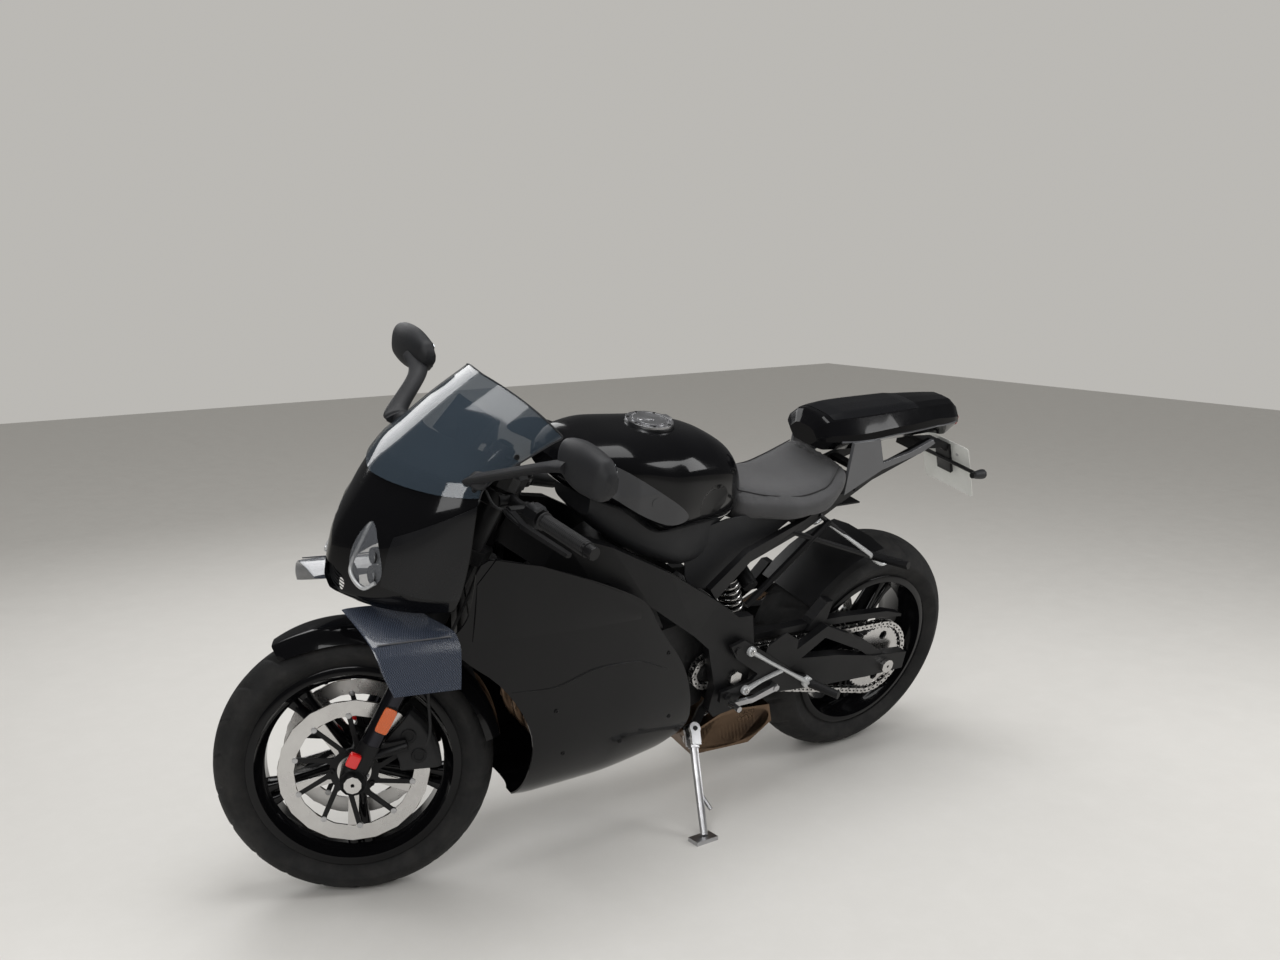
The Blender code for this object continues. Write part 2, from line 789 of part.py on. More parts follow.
def stand_bracket():
    """The lug on the frame that the stand's fork straddles, and the bridge that carries it."""
    lug = rod(STAND_PIVOT - STAND_AXIS * 0.006, STAND_PIVOT + STAND_AXIS * 0.006, STAND_EYE, sides=10)
    bridge = beam(
        [
            (0.560, 0.110, 0.315, 0.024, 0.022),
            (0.590, 0.112, 0.288, 0.012, 0.022),
            (*(STAND_PIVOT + Vector((-0.006, -0.003, 0.003))), 0.012, 0.020),
        ],
        up=STAND_AXIS,
    )
    pin = rod(STAND_PIVOT - STAND_AXIS * 0.018, STAND_PIVOT + STAND_AXIS * 0.018, STAND_PIN, sides=16)
    return fuse(bridge, lug, pin)


FOOT_RISE = 0.010


def side_stand(ground):
    """The leg, its forked eye around the frame's lug, and the foot that lies flat on the ground."""
    down = STAND_REACH.normalized()
    ankle = STAND_FOOT + (ground.inverted().to_3x3() @ Vector((0, 0, FOOT_RISE)))
    leg = rod(STAND_PIVOT + down * 0.030, ankle, 0.0115, 0.0095, sides=8)
    pieces = [leg]
    for side in (1, -1):
        middle = STAND_PIVOT + STAND_AXIS * side * 0.0125
        ear = rod(middle - STAND_AXIS * 0.004, middle + STAND_AXIS * 0.004, STAND_EYE, sides=10)
        hold = beam(
            [(*(middle + down * t), 0.008, 0.026) for t in (0.004, 0.040)],
            up=STAND_AXIS,
        )
        pieces += [ear, hold]
    bridge = rod(STAND_PIVOT + down * 0.026, STAND_PIVOT + down * 0.046, 0.0150, sides=8)
    pieces.append(bridge)
    foot = box((0.062, 0.036, FOOT_RISE), (0, 0, FOOT_RISE / 2))
    at = ground @ STAND_FOOT
    pieces.append(moved(foot, ground.inverted() @ Matrix.Translation((at.x + 0.008, at.y + 0.006, 0.0))))
    tang = rod(STAND_PIVOT + down * 0.150, STAND_PIVOT + down * 0.150 + Vector((-0.004, 0.050, -0.022)), 0.005, sides=6)
    pieces.append(tang)
    stand = fuse(*pieces)
    # The bore's flats lie further out than the pin's corners, so that the pin clears it at every angle.
    bore = (STAND_PIN + SEAT_GAP) / math.cos(math.pi / 16)
    pin = rod(STAND_PIVOT - STAND_AXIS * 0.03, STAND_PIVOT + STAND_AXIS * 0.03, bore, sides=16)
    return cut(stand, pin)


# Rear subframe rails: x, y, z, height, width
RAIL_ROWS = (
    (0.640, 0.1283, 0.6343, 0.040, 0.018),
    (0.540, 0.1200, 0.715, 0.032, 0.018),
    (0.350, 0.0960, 0.7634, 0.030, 0.016),
    (0.120, 0.0700, 0.860, 0.026, 0.014),
    (-0.100, 0.0560, 0.925, 0.024, 0.014),
)
PEG_ROOT = Vector((0.115, 0.132, 0.655))
PEG_TIP = Vector((0.088, 0.235, 0.672))


def subframe():
    """Rails and braces under the seat and tail, and the pillion's foot hangers."""
    pieces = []
    for side in (1, -1):
        flip = Matrix.Diagonal((1, side, 1, 1))
        put = [beam([(x, side * y, z, h, w) for x, y, z, h, w in RAIL_ROWS])]
        for points, radius in (
            ([(0.520, 0.128, 0.580), (0.270, 0.105, 0.765)], 0.009),
            ([(0.300, 0.096, 0.782), tuple(PEG_ROOT)], 0.007),
            ([(0.390, 0.104, 0.750), tuple(PEG_ROOT)], 0.007),
            ([tuple(PEG_ROOT + Vector((0, -0.008, 0))), tuple(PEG_TIP)], 0.011),
        ):
            put.append(tube([tuple(flip @ Vector(p)) for p in points], radius))
        pieces.append(fuse(*put))
    for x, y, z in ((0.350, 0.096, 0.762), (0.120, 0.070, 0.860), (-0.080, 0.057, 0.918)):
        pieces.append(box((0.030, 2 * y, 0.012), (x, 0, z)))
    pieces.append(box((0.180, 0.186, 0.004), (0.250, 0, 0.7974)))
    pieces.append(box((0.012, 2 * (fin_inner(0.190) - SEAT_GAP), 0.034), (0.190, 0, 0.852)))
    return fuse(*pieces)


def engine():
    """The engine's mass as one plain casting: crankcase, inclined cylinders, covers and front sprocket."""
    case = beam([(0.575, 0, 0.415, 0.220, 0.190), (0.640, 0, 0.420, 0.270, 0.196), (0.960, 0, 0.420, 0.250, 0.290)])
    lean = Matrix.Translation((0.885, 0, 0.584)) @ Matrix.Rotation(math.radians(30), 4, "Y")
    cylinders = moved(box((0.200, 0.220, 0.270), (0, 0, 0)), lean)
    left = rod((0.850, 0.140, 0.430), (0.850, 0.172, 0.430), 0.078, 0.066, sides=16)
    right = rod((0.785, -0.080, 0.425), (0.785, -0.170, 0.425), 0.092, 0.078, sides=16)
    sump = box((0.240, 0.150, 0.060), (0.740, 0, 0.285))
    inner = FRAME_PLANE - FRAME_THICK / 2 - SEAT_GAP
    lug = across((0.606, 0.500), -inner, inner, 0.014, sides=8)
    shaft = across(FRONT_SPROCKET, 0.050, CHAIN_PLANE + 0.004, 0.014, sides=8)
    sprocket = sprocket_wheel(FRONT_TEETH, FRONT_SPROCKET, 0.0045)
    return fuse(case, cylinders, left, right, sump, lug, shaft, sprocket)


def radiator():
    """A curved core between side tanks, hung from the frame behind the front wheel."""
    rings = []
    for i in range(7):
        y = -0.165 + 0.330 * i / 6
        bow = 0.030 * (1 - (y / 0.165) ** 2)
        ring = []
        for x, z in ((1.178, 0.720), (1.148, 0.720), (1.118, 0.470), (1.150, 0.465)):
            ring.append((x - bow, y, z))
        rings.append(ring)
    core = loft(rings)
    pieces = [core]
    for side in (1, -1):
        pieces.append(beam([(1.160, side * 0.166, 0.720, 0.046, 0.030), (1.132, side * 0.166, 0.470, 0.046, 0.030)],
                           up=(1, 0, 0)))  # fmt: skip
    for side in (1, -1):
        pieces.append(box((0.014, 0.014, 0.0650), (1.114, side * 0.068, 0.7320)))
    return fuse(*pieces)


EXHAUST_BOX = [(0.610, 0.215), (0.590, 0.150), (0.400, 0.140), (0.330, 0.190), (0.350, 0.245), (0.500, 0.262)]


def exhaust():
    """Four headers under the engine, the collector box, and the short silencer on the right."""
    box_body = plate(EXHAUST_BOX, -0.100, 0.105)
    pieces = [box_body]
    for y in (-0.105, -0.036, 0.036, 0.105):
        route = [
            (1.0019, y, 0.5858), (1.0395, y, 0.5641), (1.040, y * 0.8, 0.330),
            (0.985, y * 0.6, 0.262), (0.860, y * 0.55, 0.232), (0.585, y * 0.50, 0.208),
        ]  # fmt: skip
        pieces.append(tube(route, 0.0190))
    pieces.append(tube([(0.440, -0.060, 0.215), (0.400, -0.130, 0.235), (0.330, -0.192, 0.250)], 0.026))
    pieces.append(beam([(0.385, -0.200, 0.240, 0.070, 0.070), (0.300, -0.212, 0.262, 0.100, 0.088),
                        (0.110, -0.222, 0.332, 0.104, 0.082), (0.072, -0.222, 0.348, 0.080, 0.062)],
                       chamfer=0.32))  # fmt: skip
    whole = fuse(*pieces)
    mouth = rod((0.150, -0.222, 0.318), (0.040, -0.222, 0.361), 0.020, sides=10)
    return cut(whole, mouth)


# Swingarm, left arm: x, y, z, height, width. It passes inside the chain's loop before it flares out.
ARM_ROWS = (
    (0.540, 0.090, 0.398, 0.056, 0.034),
    (0.450, 0.100, 0.384, 0.062, 0.032),
    (0.370, 0.1400, 0.372, 0.080, ARM_THICK),
    (0.200, ARM_PLANE, 0.350, 0.086, ARM_THICK),
    (0.060, ARM_PLANE, 0.330, 0.064, ARM_THICK),
    (-0.075, ARM_PLANE, REAR_RADIUS, 0.050, ARM_THICK),
)
BRACE_ROWS = (
    (0.372, ARM_PLANE, 0.400, 0.040, 0.022),
    (0.250, ARM_PLANE, 0.470, 0.034, 0.022),
    (0.100, ARM_PLANE, 0.400, 0.030, 0.022),
    (0.020, ARM_PLANE, 0.345, 0.030, 0.022),
)
PIVOT_TUBE = 0.026


def swingarm():
    """Two arms on a pivot tube, each with its braced upper rail, a bridge ahead of the tyre and axle slots."""
    reach = FRAME_PLANE - FRAME_THICK / 2 - SEAT_GAP
    pieces = [across(PIVOT, -reach, reach, PIVOT_TUBE, sides=12)]
    for side in (1, -1):
        pieces.append(beam([(x, side * y, z, h, w) for x, y, z, h, w in ARM_ROWS]))
        pieces.append(beam([(x, side * y, z, h, w) for x, y, z, h, w in BRACE_ROWS]))
    pieces.append(beam([(0.405, -0.128, 0.378, 0.060, 0.050), (0.405, 0.0, 0.378, 0.056, 0.050),
                        (0.405, 0.128, 0.378, 0.060, 0.050)]))  # fmt: skip
    pieces.append(box((0.050, 0.040, 0.040), (0.420, 0, 0.425)))
    arm = fuse(*pieces)
    axle = across((0, REAR_RADIUS), -0.2, 0.2, AXLE_BORE, sides=16)
    bolt = across(PIVOT, -0.2, 0.2, PIVOT_BOLT + SEAT_GAP, sides=12)
    return cut(arm, axle, bolt)


def pivot_shaft():
    """The bolt that the swingarm hangs on, from plate to plate, with its head and nut."""
    out = FRAME_PLANE + FRAME_THICK / 2 + SEAT_GAP
    return fuse(
        across(PIVOT, -out - 0.004, out + 0.004, PIVOT_BOLT, sides=12),
        across(PIVOT, out, out + 0.009, 0.019, sides=6),
        across(PIVOT, -out - 0.009, -out, 0.019, sides=6),
    )


def axle(centre, hub_ends, lug_faces, out, nut):
    """An axle through a hub: spacers between hub and lugs, and a nut outside each lug."""
    x, z = centre
    low, high = hub_ends
    near, far = lug_faces
    spacer = 0.019
    profile = [
        (-out - 0.012, 0.004), (-out - 0.012, nut), (-out, nut), (-out, AXLE_RADIUS), (near + SEAT_GAP, AXLE_RADIUS),
        (near + SEAT_GAP, spacer), (low - 0.0010, spacer), (low - 0.0010, AXLE_RADIUS),
        (high + 0.0010, AXLE_RADIUS), (high + 0.0010, spacer), (far - SEAT_GAP, spacer),
        (far - SEAT_GAP, AXLE_RADIUS), (out, AXLE_RADIUS), (out, nut), (out + 0.012, nut), (out + 0.012, 0.004),
    ]  # fmt: skip
    return turned(profile, 10, (x, 0, z))


def pitch_radius(teeth):
    return CHAIN_PITCH / (2 * math.sin(math.pi / teeth))


def sprocket_wheel(teeth, centre, thick, windows=0):
    """A toothed plate in the chain's plane whose tips run just inside the chain's loop."""
    tip = pitch_radius(teeth) - CHAIN_HALF_HEIGHT - CHAIN_CLEAR
    root = tip - 0.006
    outline = []
    for i in range(teeth):
        for share, radius in ((-0.25, root), (0.15, tip)):
            turn = math.tau * (i + share) / teeth
            outline.append((centre[0] + radius * math.cos(turn), centre[1] + radius * math.sin(turn)))
    wheel = plate(outline, CHAIN_PLANE - thick / 2, CHAIN_PLANE + thick / 2)
    for i in range(windows):
        turn = math.tau * (i + 0.5) / windows
        middle = (centre[0] + 0.066 * math.cos(turn), centre[1] + 0.066 * math.sin(turn))
        wheel = cut(wheel, across(middle, CHAIN_PLANE - 0.02, CHAIN_PLANE + 0.02, 0.014, sides=8))
    return wheel


def rear_sprocket():
    wheel = sprocket_wheel(REAR_TEETH, (0, REAR_RADIUS), 0.006, windows=5)
    return cut(wheel, across((0, REAR_RADIUS), 0.05, 0.15, DISC_EYE, sides=12))


def chain_route():
    """Each pin's place on the chain's loop round both sprockets, and the way out of the loop there."""
    big, small = pitch_radius(REAR_TEETH), pitch_radius(FRONT_TEETH)
    run = Vector((FRONT_SPROCKET[0], FRONT_SPROCKET[1] - REAR_RADIUS))
    slope = math.atan2(run.y, run.x)
    taper = math.asin((big - small) / run.length)
    straight = run.length * math.cos(taper)
    front_wrap, rear_wrap = math.pi - 2 * taper, math.pi + 2 * taper
    total = 2 * straight + small * front_wrap + big * rear_wrap
    count = 2 * round(total / CHAIN_PITCH / 2)
    top = math.pi / 2 + slope - taper
    bottom = -math.pi / 2 + slope + taper
    points = []
    for i in range(count):
        s = total * i / count
        if s < straight:
            turn, centre, radius, onward = top, Vector((0, REAR_RADIUS)), big, s
        elif s < straight + small * front_wrap:
            turn, centre, radius, onward = top - (s - straight) / small, Vector(FRONT_SPROCKET), small, 0
        elif s < 2 * straight + small * front_wrap:
            turn, centre, radius = bottom, Vector(FRONT_SPROCKET), small
            onward = s - straight - small * front_wrap
        else:
            turn = bottom - (s - 2 * straight - small * front_wrap) / big
            centre, radius, onward = Vector((0, REAR_RADIUS)), big, 0
        out = Vector((math.cos(turn), math.sin(turn)))
        along = Vector((out.y, -out.x))
        points.append((centre + out * radius + along * onward, out))
    return points


def chain():
    """The chain as one closed loop, wide and narrow by turns from pin to pin as its outer and inner plates are."""
    shape = bmesh.new()
    rows = []
    for i, (at, out) in enumerate(chain_route()):
        wide = 0.0100 if i % 2 else 0.0070
        tall = CHAIN_HALF_HEIGHT
        ring = []
        for side, lift in ((-1, -1), (1, -1), (1, 1), (-1, 1)):
            point = at + out * lift * tall
            ring.append(shape.verts.new((point.x, CHAIN_PLANE + side * wide, point.y)))
        rows.append(ring)
    for i, row in enumerate(rows):
        before = rows[i - 1]
        for k in range(4):
            j = (k + 1) % 4
            shape.faces.new((before[k], before[j], row[j], row[k]))
    return from_bmesh("chain", shape)


def arched(profile, centre, start, end, steps):
    """A closed profile of (y, radius) pairs swept from one angle to another about a Y axis, angles from +X up."""
    rings = []
    for i in range(steps + 1):
        turn = math.radians(start + (end - start) * i / steps)
        c, s = math.cos(turn), math.sin(turn)
        rings.append([(centre[0] + r * c, y, centre[1] + r * s) for y, r in profile])
    return loft(rings)


def gutter(half_width, radius, droop, wall):
    """The closed (y, radius) section of a mudguard: an arch with lips, of one wall thickness."""
    outer = [(share * half_width, radius - drop) for share, drop in (
        (-1, droop), (-0.92, droop * 0.45), (-0.4, 0.003), (0.4, 0.003), (0.92, droop * 0.45), (1, droop))]  # fmt: skip
    inner = [(y * (1 - wall / half_width), r - wall) for y, r in reversed(outer)]
    return outer + inner


HUGGER_RADIUS = REAR_RADIUS + 0.017


def hugger():
    """The rear hugger over the tyre's front, its feet on the arms, and the chain guard on its left."""
    guard = arched(gutter(0.108, HUGGER_RADIUS + 0.004, 0.030, 0.004), (0, REAR_RADIUS), 36, 84, 5)
    pieces = [guard]
    for side in (1, -1):
        near, far = sorted((side * 0.1035, side * (ARM_PLANE - 0.0115)))
        pieces.append(plate([(0.300, 0.470), (0.285, 0.500), (0.245, 0.545), (0.225, 0.545), (0.235, 0.492), (0.262, 0.4705)],
                            near, far))  # fmt: skip
    strip = plate([(0.480, 0.476), (0.480, 0.492), (0.180, 0.486), (0.000, 0.470), (-0.060, 0.452), (-0.060, 0.444),
                   (0.020, 0.455), (0.180, 0.466)], 0.1035, 0.1290)  # fmt: skip
    pieces.append(strip)
    return fuse(*pieces)


def caliper_block(centre, plane, toward, inner, outer, spread, half_width):
    """A caliper: an arc of casting over the disc's rim, slotted from below for the disc to run through."""
    profile = [(plane - half_width, inner), (plane - half_width, outer - 0.010), (plane - half_width + 0.010, outer),
               (plane + half_width - 0.010, outer), (plane + half_width, outer - 0.010), (plane + half_width, inner)]  # fmt: skip
    block = arched(profile, centre, toward - spread / 2, toward + spread / 2, 4)
    slot = DISC_THICK / 2 + PAD_CLEAR
    gap = arched([(plane - slot, 0.02), (plane - slot, outer - 0.014), (plane + slot, outer - 0.014), (plane + slot, 0.02)],
                 centre, toward - spread / 2 - 6, toward + spread / 2 + 6, 4)  # fmt: skip
    return cut(block, gap)


def rear_caliper():
    """The rear caliper and its bracket, whose eye sits on the axle inside the right arm."""
    block = caliper_block((0, REAR_RADIUS), REAR_DISC_PLANE, 58, 0.070, 0.136, 42, 0.026)
    arm_face = -(ARM_PLANE - ARM_THICK / 2) + SEAT_GAP
    outline = [(-0.024, 0.300), (-0.010, 0.296), (0.024, 0.312), (0.060, 0.385), (0.092, 0.418), (0.060, 0.448),
               (0.020, 0.440), (0.012, 0.370), (-0.020, 0.344)]  # fmt: skip
    bracket = plate(outline, arm_face, -0.1090)
    hole = across((0, REAR_RADIUS), -0.2, 0.0, 0.0195, sides=16)
    return fuse(cut(bracket, hole), block)


def shock():
    """The rear damper between the swingarm's bridge and the frame, with its spring and reservoir."""
    low, high = Vector((0.430, 0, 0.4515)), Vector((0.512, 0, 0.650))
    run = (high - low).normalized()
    pieces = [rod(low, high, 0.016, sides=8)]
    for i in range(3):
        middle = low + run * (0.046 + 0.044 * i)
        pieces.append(rod(middle, middle + run * 0.020, 0.032, sides=10))
    pieces.append(rod((0.470, 0.000, 0.640), (0.470, 0.080, 0.600), 0.020, sides=8))
    return fuse(*pieces)


# Rider's foot controls, left side
HANGER_PLATE = [
    (0.585, 0.500), (0.545, 0.512), (0.480, 0.470), (0.340, 0.372), (0.294, 0.356), (0.286, 0.336),
    (0.302, 0.324), (0.400, 0.334), (0.520, 0.352), (0.590, 0.345), (0.592, 0.375), (0.500, 0.388),
    (0.480, 0.404), (0.560, 0.462),
]  # fmt: skip
HANGER_NEAR = FRAME_PLANE + FRAME_THICK / 2 + 0.0105
RIDER_PEG = Vector((0.304, HANGER_NEAR, 0.341))


def hanger():
    """The left footrest plate with its peg, bosses on the frame and heel guard."""
    pieces = [plate(HANGER_PLATE, HANGER_NEAR, HANGER_NEAR + 0.010)]
    for x, z in ((0.560, 0.486), (0.570, 0.360)):
        pieces.append(across((x, z), FRAME_PLANE + FRAME_THICK / 2 + SEAT_GAP, HANGER_NEAR + 0.014, 0.010, sides=8))
    pieces.append(rod(RIDER_PEG, RIDER_PEG + Vector((-0.036, 0.095, 0.002)), 0.0125, 0.011, sides=8))
    heel = plate([(0.470, 0.385), (0.455, 0.470), (0.400, 0.500), (0.352, 0.470), (0.350, 0.400), (0.395, 0.375)],
                 HANGER_NEAR - 0.0035, HANGER_NEAR + 0.0005)  # fmt: skip
    pieces.append(heel)
    return fuse(*pieces)


def foot_lever(tip_drop, toe):
    """The gear or brake lever ahead of a footrest, with its toe peg."""
    y = HANGER_NEAR + 0.022
    arm = beam([(0.420, y, 0.362, 0.018, 0.010), (0.500, y + 0.004, 0.345 - tip_drop, 0.014, 0.010),
                (0.575, y + 0.010, 0.350 - tip_drop, 0.012, 0.010)])  # fmt: skip
    pivot = rod((0.425, HANGER_NEAR + 0.010 + SEAT_GAP, 0.361), (0.425, y + 0.008, 0.361), 0.009, sides=6)
    peg = rod((0.570, y + 0.004, 0.350 - tip_drop), (0.570, y + 0.010 + toe, 0.352 - tip_drop), 0.008, sides=6)
    return fuse(arm, pivot, peg)


# Steering group


CALIPER_HALF = 0.024
MOUNT_PLANE = DISC_PLANE + CALIPER_HALF + SEAT_GAP + 0.007


def fork_leg(side):
    """One upside-down fork leg: outer tube, slider, axle lug with the caliper's mount, and top cap."""
    y = side * FORK_SPREAD
    outer = rod(on_fork(FORK_JOIN, y), on_fork(FORK_TOP, y), FORK_TUBE, sides=12)
    cap = rod(on_fork(FORK_TOP - 0.004, y), on_fork(FORK_TOP + 0.012, y), 0.018, sides=6)
    slider = rod(on_fork(0.020, y), on_fork(FORK_JOIN + 0.010, y), SLIDER_TUBE, sides=12)
    lug = rod(FRONT_AXLE + Vector((0, y - side * 0.024, 0)), FRONT_AXLE + Vector((0, y + side * 0.024, 0)), 0.029, sides=12)
    boot = rod(on_fork(0.010, y), on_fork(0.085, y), 0.0235, 0.0225, sides=10)
    mount = beam([(*on_fork(0.060, side * MOUNT_PLANE, -0.006), 0.030, 0.014),
                  (*on_fork(0.110, side * MOUNT_PLANE, -0.070), 0.026, 0.014)])  # fmt: skip
    leg = fuse(outer, cap, slider, lug, boot, mount)
    bore = across((WHEELBASE, FRONT_RADIUS), y - 0.05, y + 0.05, AXLE_BORE, sides=16)
    return cut(leg, bore)


def clamp_plate(along):
    """A fork clamp: a bridge and two split eyes around the fork tubes, square to the steering axis."""
    lift = AXIS_UP * CLAMP_THICK / 2
    bridge = beam([(*head_point(along, y, ahead), CLAMP_THICK, width) for y, ahead, width in (
        (-FORK_SPREAD, FORK_OFFSET - 0.006, 0.050), (-0.045, 0.004, 0.062), (0.045, 0.004, 0.062),
        (FORK_SPREAD, FORK_OFFSET - 0.006, 0.050))], up=AXIS_UP)  # fmt: skip
    eyes = [rod(on_fork(along, y) - lift * 1.15, on_fork(along, y) + lift * 1.15, FORK_TUBE + 0.011, sides=10)
            for y in (-FORK_SPREAD, FORK_SPREAD)]  # fmt: skip
    whole = fuse(bridge, *eyes)
    for y in (-FORK_SPREAD, FORK_SPREAD):
        whole = cut(whole, rod(on_fork(along, y) - lift * 2, on_fork(along, y) + lift * 2, FORK_TUBE + SEAT_GAP, sides=12))
    return whole


def steering_clamps():
    stem = rod(head_point(HEAD_LOW), head_point(HEAD_HIGH), STEM_RADIUS, sides=12)
    nut = rod(head_point(HEAD_HIGH), head_point(HEAD_HIGH + CLAMP_THICK / 2 + 0.008), 0.019, sides=6)
    return fuse(clamp_plate(HEAD_LOW), clamp_plate(HEAD_HIGH), stem, nut)


BAR_IN = Vector((1.158, 0.122, 0.918))
BAR_OUT = Vector((1.006, 0.345, 0.861))


def on_bar(share, lift=0.0, ahead=0.0):
    run = (BAR_OUT - BAR_IN).normalized()
    forward = run.cross(Vector((0, 0, 1))).normalized()
    return BAR_IN + (BAR_OUT - BAR_IN) * share + Vector((0, 0, lift)) + forward * ahead


def clip_on():
    """The left bar: its clamp round the fork tube, grip, bar end, switch pod, perch and lever."""
    low, high = on_fork(BAR_CLAMP - 0.017, FORK_SPREAD), on_fork(BAR_CLAMP + 0.017, FORK_SPREAD)
    pieces = [rod(low, high, FORK_TUBE + 0.008, sides=12)]
    pieces.append(rod(on_bar(-0.05), on_bar(0.97), 0.0110, sides=8))
    pieces.append(rod(on_bar(0.42), on_bar(0.93), 0.0165, sides=10))
    pieces.append(rod(on_bar(0.93), on_bar(1.0), 0.0140, sides=8))
    pieces.append(rod(on_bar(0.27), on_bar(0.40), 0.0240, 0.0215, sides=8))
    pieces.append(rod(on_bar(0.235, 0.002, 0.0), on_bar(0.235, 0.002, 0.050), 0.0120, sides=6))
    pieces.append(beam([(*on_bar(0.215, 0.002, 0.045), 0.014, 0.016), (*on_bar(0.45, -0.002, 0.056), 0.010, 0.013),
                        (*on_bar(0.92, -0.006, 0.046), 0.008, 0.012)]))  # fmt: skip
    bar = fuse(*pieces)
    return cut(bar, rod(on_fork(BAR_CLAMP - 0.05, FORK_SPREAD), on_fork(BAR_CLAMP + 0.05, FORK_SPREAD),
                        FORK_TUBE + SEAT_GAP, sides=12))  # fmt: skip


def brake_reservoir():
    """The brake's fluid cup on the right bar, on its stalk."""
    perch = on_bar(0.215, 0.002, 0.045)
    foot = Vector((perch.x, -perch.y, perch.z))
    cup = Vector((1.188, -0.150, 0.985))
    return [
        rod(foot, cup + Vector((0, 0, 0.004)), 0.0070, sides=10),
        rod(cup, cup + Vector((0, 0, 0.044)), 0.0200, 0.0225, sides=10),
        rod(cup + Vector((0, 0, 0.042)), cup + Vector((0, 0, 0.052)), 0.0245, sides=10),
    ]


def front_mudguard():
    """The mudguard's arch, with stays that reach the sliders on both sides."""
    arch = arched(gutter(0.070, FRONT_RADIUS + 0.019, 0.034, 0.003), (WHEELBASE, FRONT_RADIUS), 56, 168, 9)
    pieces = [arch]
    for side in (1, -1):
        near, far = sorted((side * 0.0665, side * 0.0705))
        stay = plate([(1.395, 0.598), (1.300, 0.560), (1.245, 0.505), (1.330, 0.470), (1.385, 0.480), (1.420, 0.545)],
                     near, far)  # fmt: skip
        pieces.append(stay)
        at = on_fork(0.225, 0)
        inner, outer = sorted((side * 0.0690, side * (FORK_SPREAD - SLIDER_TUBE - SEAT_GAP)))
        pieces.append(across((at.x, at.z), inner, outer, 0.010, sides=8))
        at = on_fork(0.250, 0)
        pieces.append(box((0.060, 0.004, 0.080), (at.x, side * 0.0685, at.z)))
    return fuse(*pieces)


def front_caliper(side):
    centre = (WHEELBASE, FRONT_RADIUS)
    block = caliper_block(centre, side * DISC_PLANE, 152, 0.098, 0.186, 46, CALIPER_HALF)
    return block


# Small pieces


MIRROR_SIDE = 0.86
MIRROR_DOWN = 0.62
MIRROR_HEAD = Vector((1.212, 0.377, 1.115))


def mirror():
    """The left mirror: its pad on the nose, a bent stalk, and the head with a raised glass edge."""
    at, out = skin_frame(MIRROR_SIDE, MIRROR_DOWN)
    foot = at + out * 0.0001
    pad = rod(foot, foot + out * 0.010, 0.017, sides=10)
    neck = at + out * 0.024
    elbow = Vector((1.245, 0.290, 1.085))
    stalk = beam([(*(at + out * 0.006), 0.024, 0.020), (*neck, 0.022, 0.016), (*elbow, 0.020, 0.013),
                  (*(MIRROR_HEAD + Vector((0.004, -0.020, -0.004))), 0.026, 0.020)], up=(1, 0, 0), chamfer=0.25)  # fmt: skip
    rings = []
    for y, high, low, thick in (
        (-0.088, 0.012, -0.014, 0.010),
        (-0.070, 0.034, -0.036, 0.022),
        (0.000, 0.046, -0.048, 0.032),
        (0.060, 0.040, -0.042, 0.026),
        (0.082, 0.016, -0.020, 0.012),
    ):
        ring = [(-0.014, low), (-0.014, high), (thick * 0.4, high * 0.86), (thick, high * 0.3), (thick, low * 0.4),
                (thick * 0.4, low * 0.86)]  # fmt: skip
        rings.append([tuple(MIRROR_HEAD + Vector((x, y, z))) for x, z in ring])
    return fuse(stalk, pad, loft(rings))


def instrument():
    """The display under the screen, and the stay from the head tube that carries it and the lamps."""
    start = head_point(0.630, 0.0, 0.0335)
    stay = beam([(start.x, 0, start.z, 0.030, 0.030), (1.300, 0, 0.930, 0.030, 0.026), (1.300, 0, 1.000, 0.020, 0.026),
                 (1.276, 0, 1.060, 0.016, 0.026)], up=(0, 1, 0))  # fmt: skip
    lamp_arm = beam([(1.290, 0, 0.925, 0.024, 0.030), (1.350, 0, 0.845, 0.022, 0.030), (1.4026, 0, 0.845, 0.022, 0.030)])
    turn = Matrix.Rotation(math.radians(-38), 4, "Y")
    panel = box((0.018, 0.150, 0.090), (1.268, 0, 1.068), turn)
    return fuse(stay, lamp_arm, panel)


PLATE_TOP = Vector((-0.222, 0, 0.905))
PLATE_LOW = Vector((-0.290, 0, 0.755))


def plate_hanger():
    """The arm under the tail that holds the plate and the rear indicators on their stalks."""
    drop = PLATE_LOW - PLATE_TOP
    ahead = Vector((-drop.z, 0, drop.x)).normalized()
    if ahead.x < 0:
        ahead = -ahead
    arm = beam([(-0.066, 0, 0.9036, 0.016, 0.060), (-0.100, 0, 0.9036, 0.016, 0.060), (-0.190, 0, 0.898, 0.020, 0.050),
                (*(PLATE_TOP + drop * 0.12 + ahead * 0.0086), 0.022, 0.046)])  # fmt: skip
    back = beam([(*(PLATE_TOP + drop * t + ahead * 0.0063), 0.050, 0.010) for t in (0.06, 0.62)], up=(0, 1, 0))
    bar = rod(PLATE_TOP + drop * 0.36 + ahead * 0.012 + Vector((0, -0.125, 0)),
              PLATE_TOP + drop * 0.36 + ahead * 0.012 + Vector((0, 0.125, 0)), 0.0055, sides=10)  # fmt: skip
    pieces = [arm, back, bar]
    for side in (1, -1):
        middle = PLATE_TOP + drop * 0.36 + ahead * 0.012 + Vector((0, side * 0.130, 0))
        pieces.append(rod(middle - Vector((0.022, 0, 0)), middle + Vector((0.024, 0, 0)), 0.0130, 0.0085, sides=8))
    return fuse(*pieces)


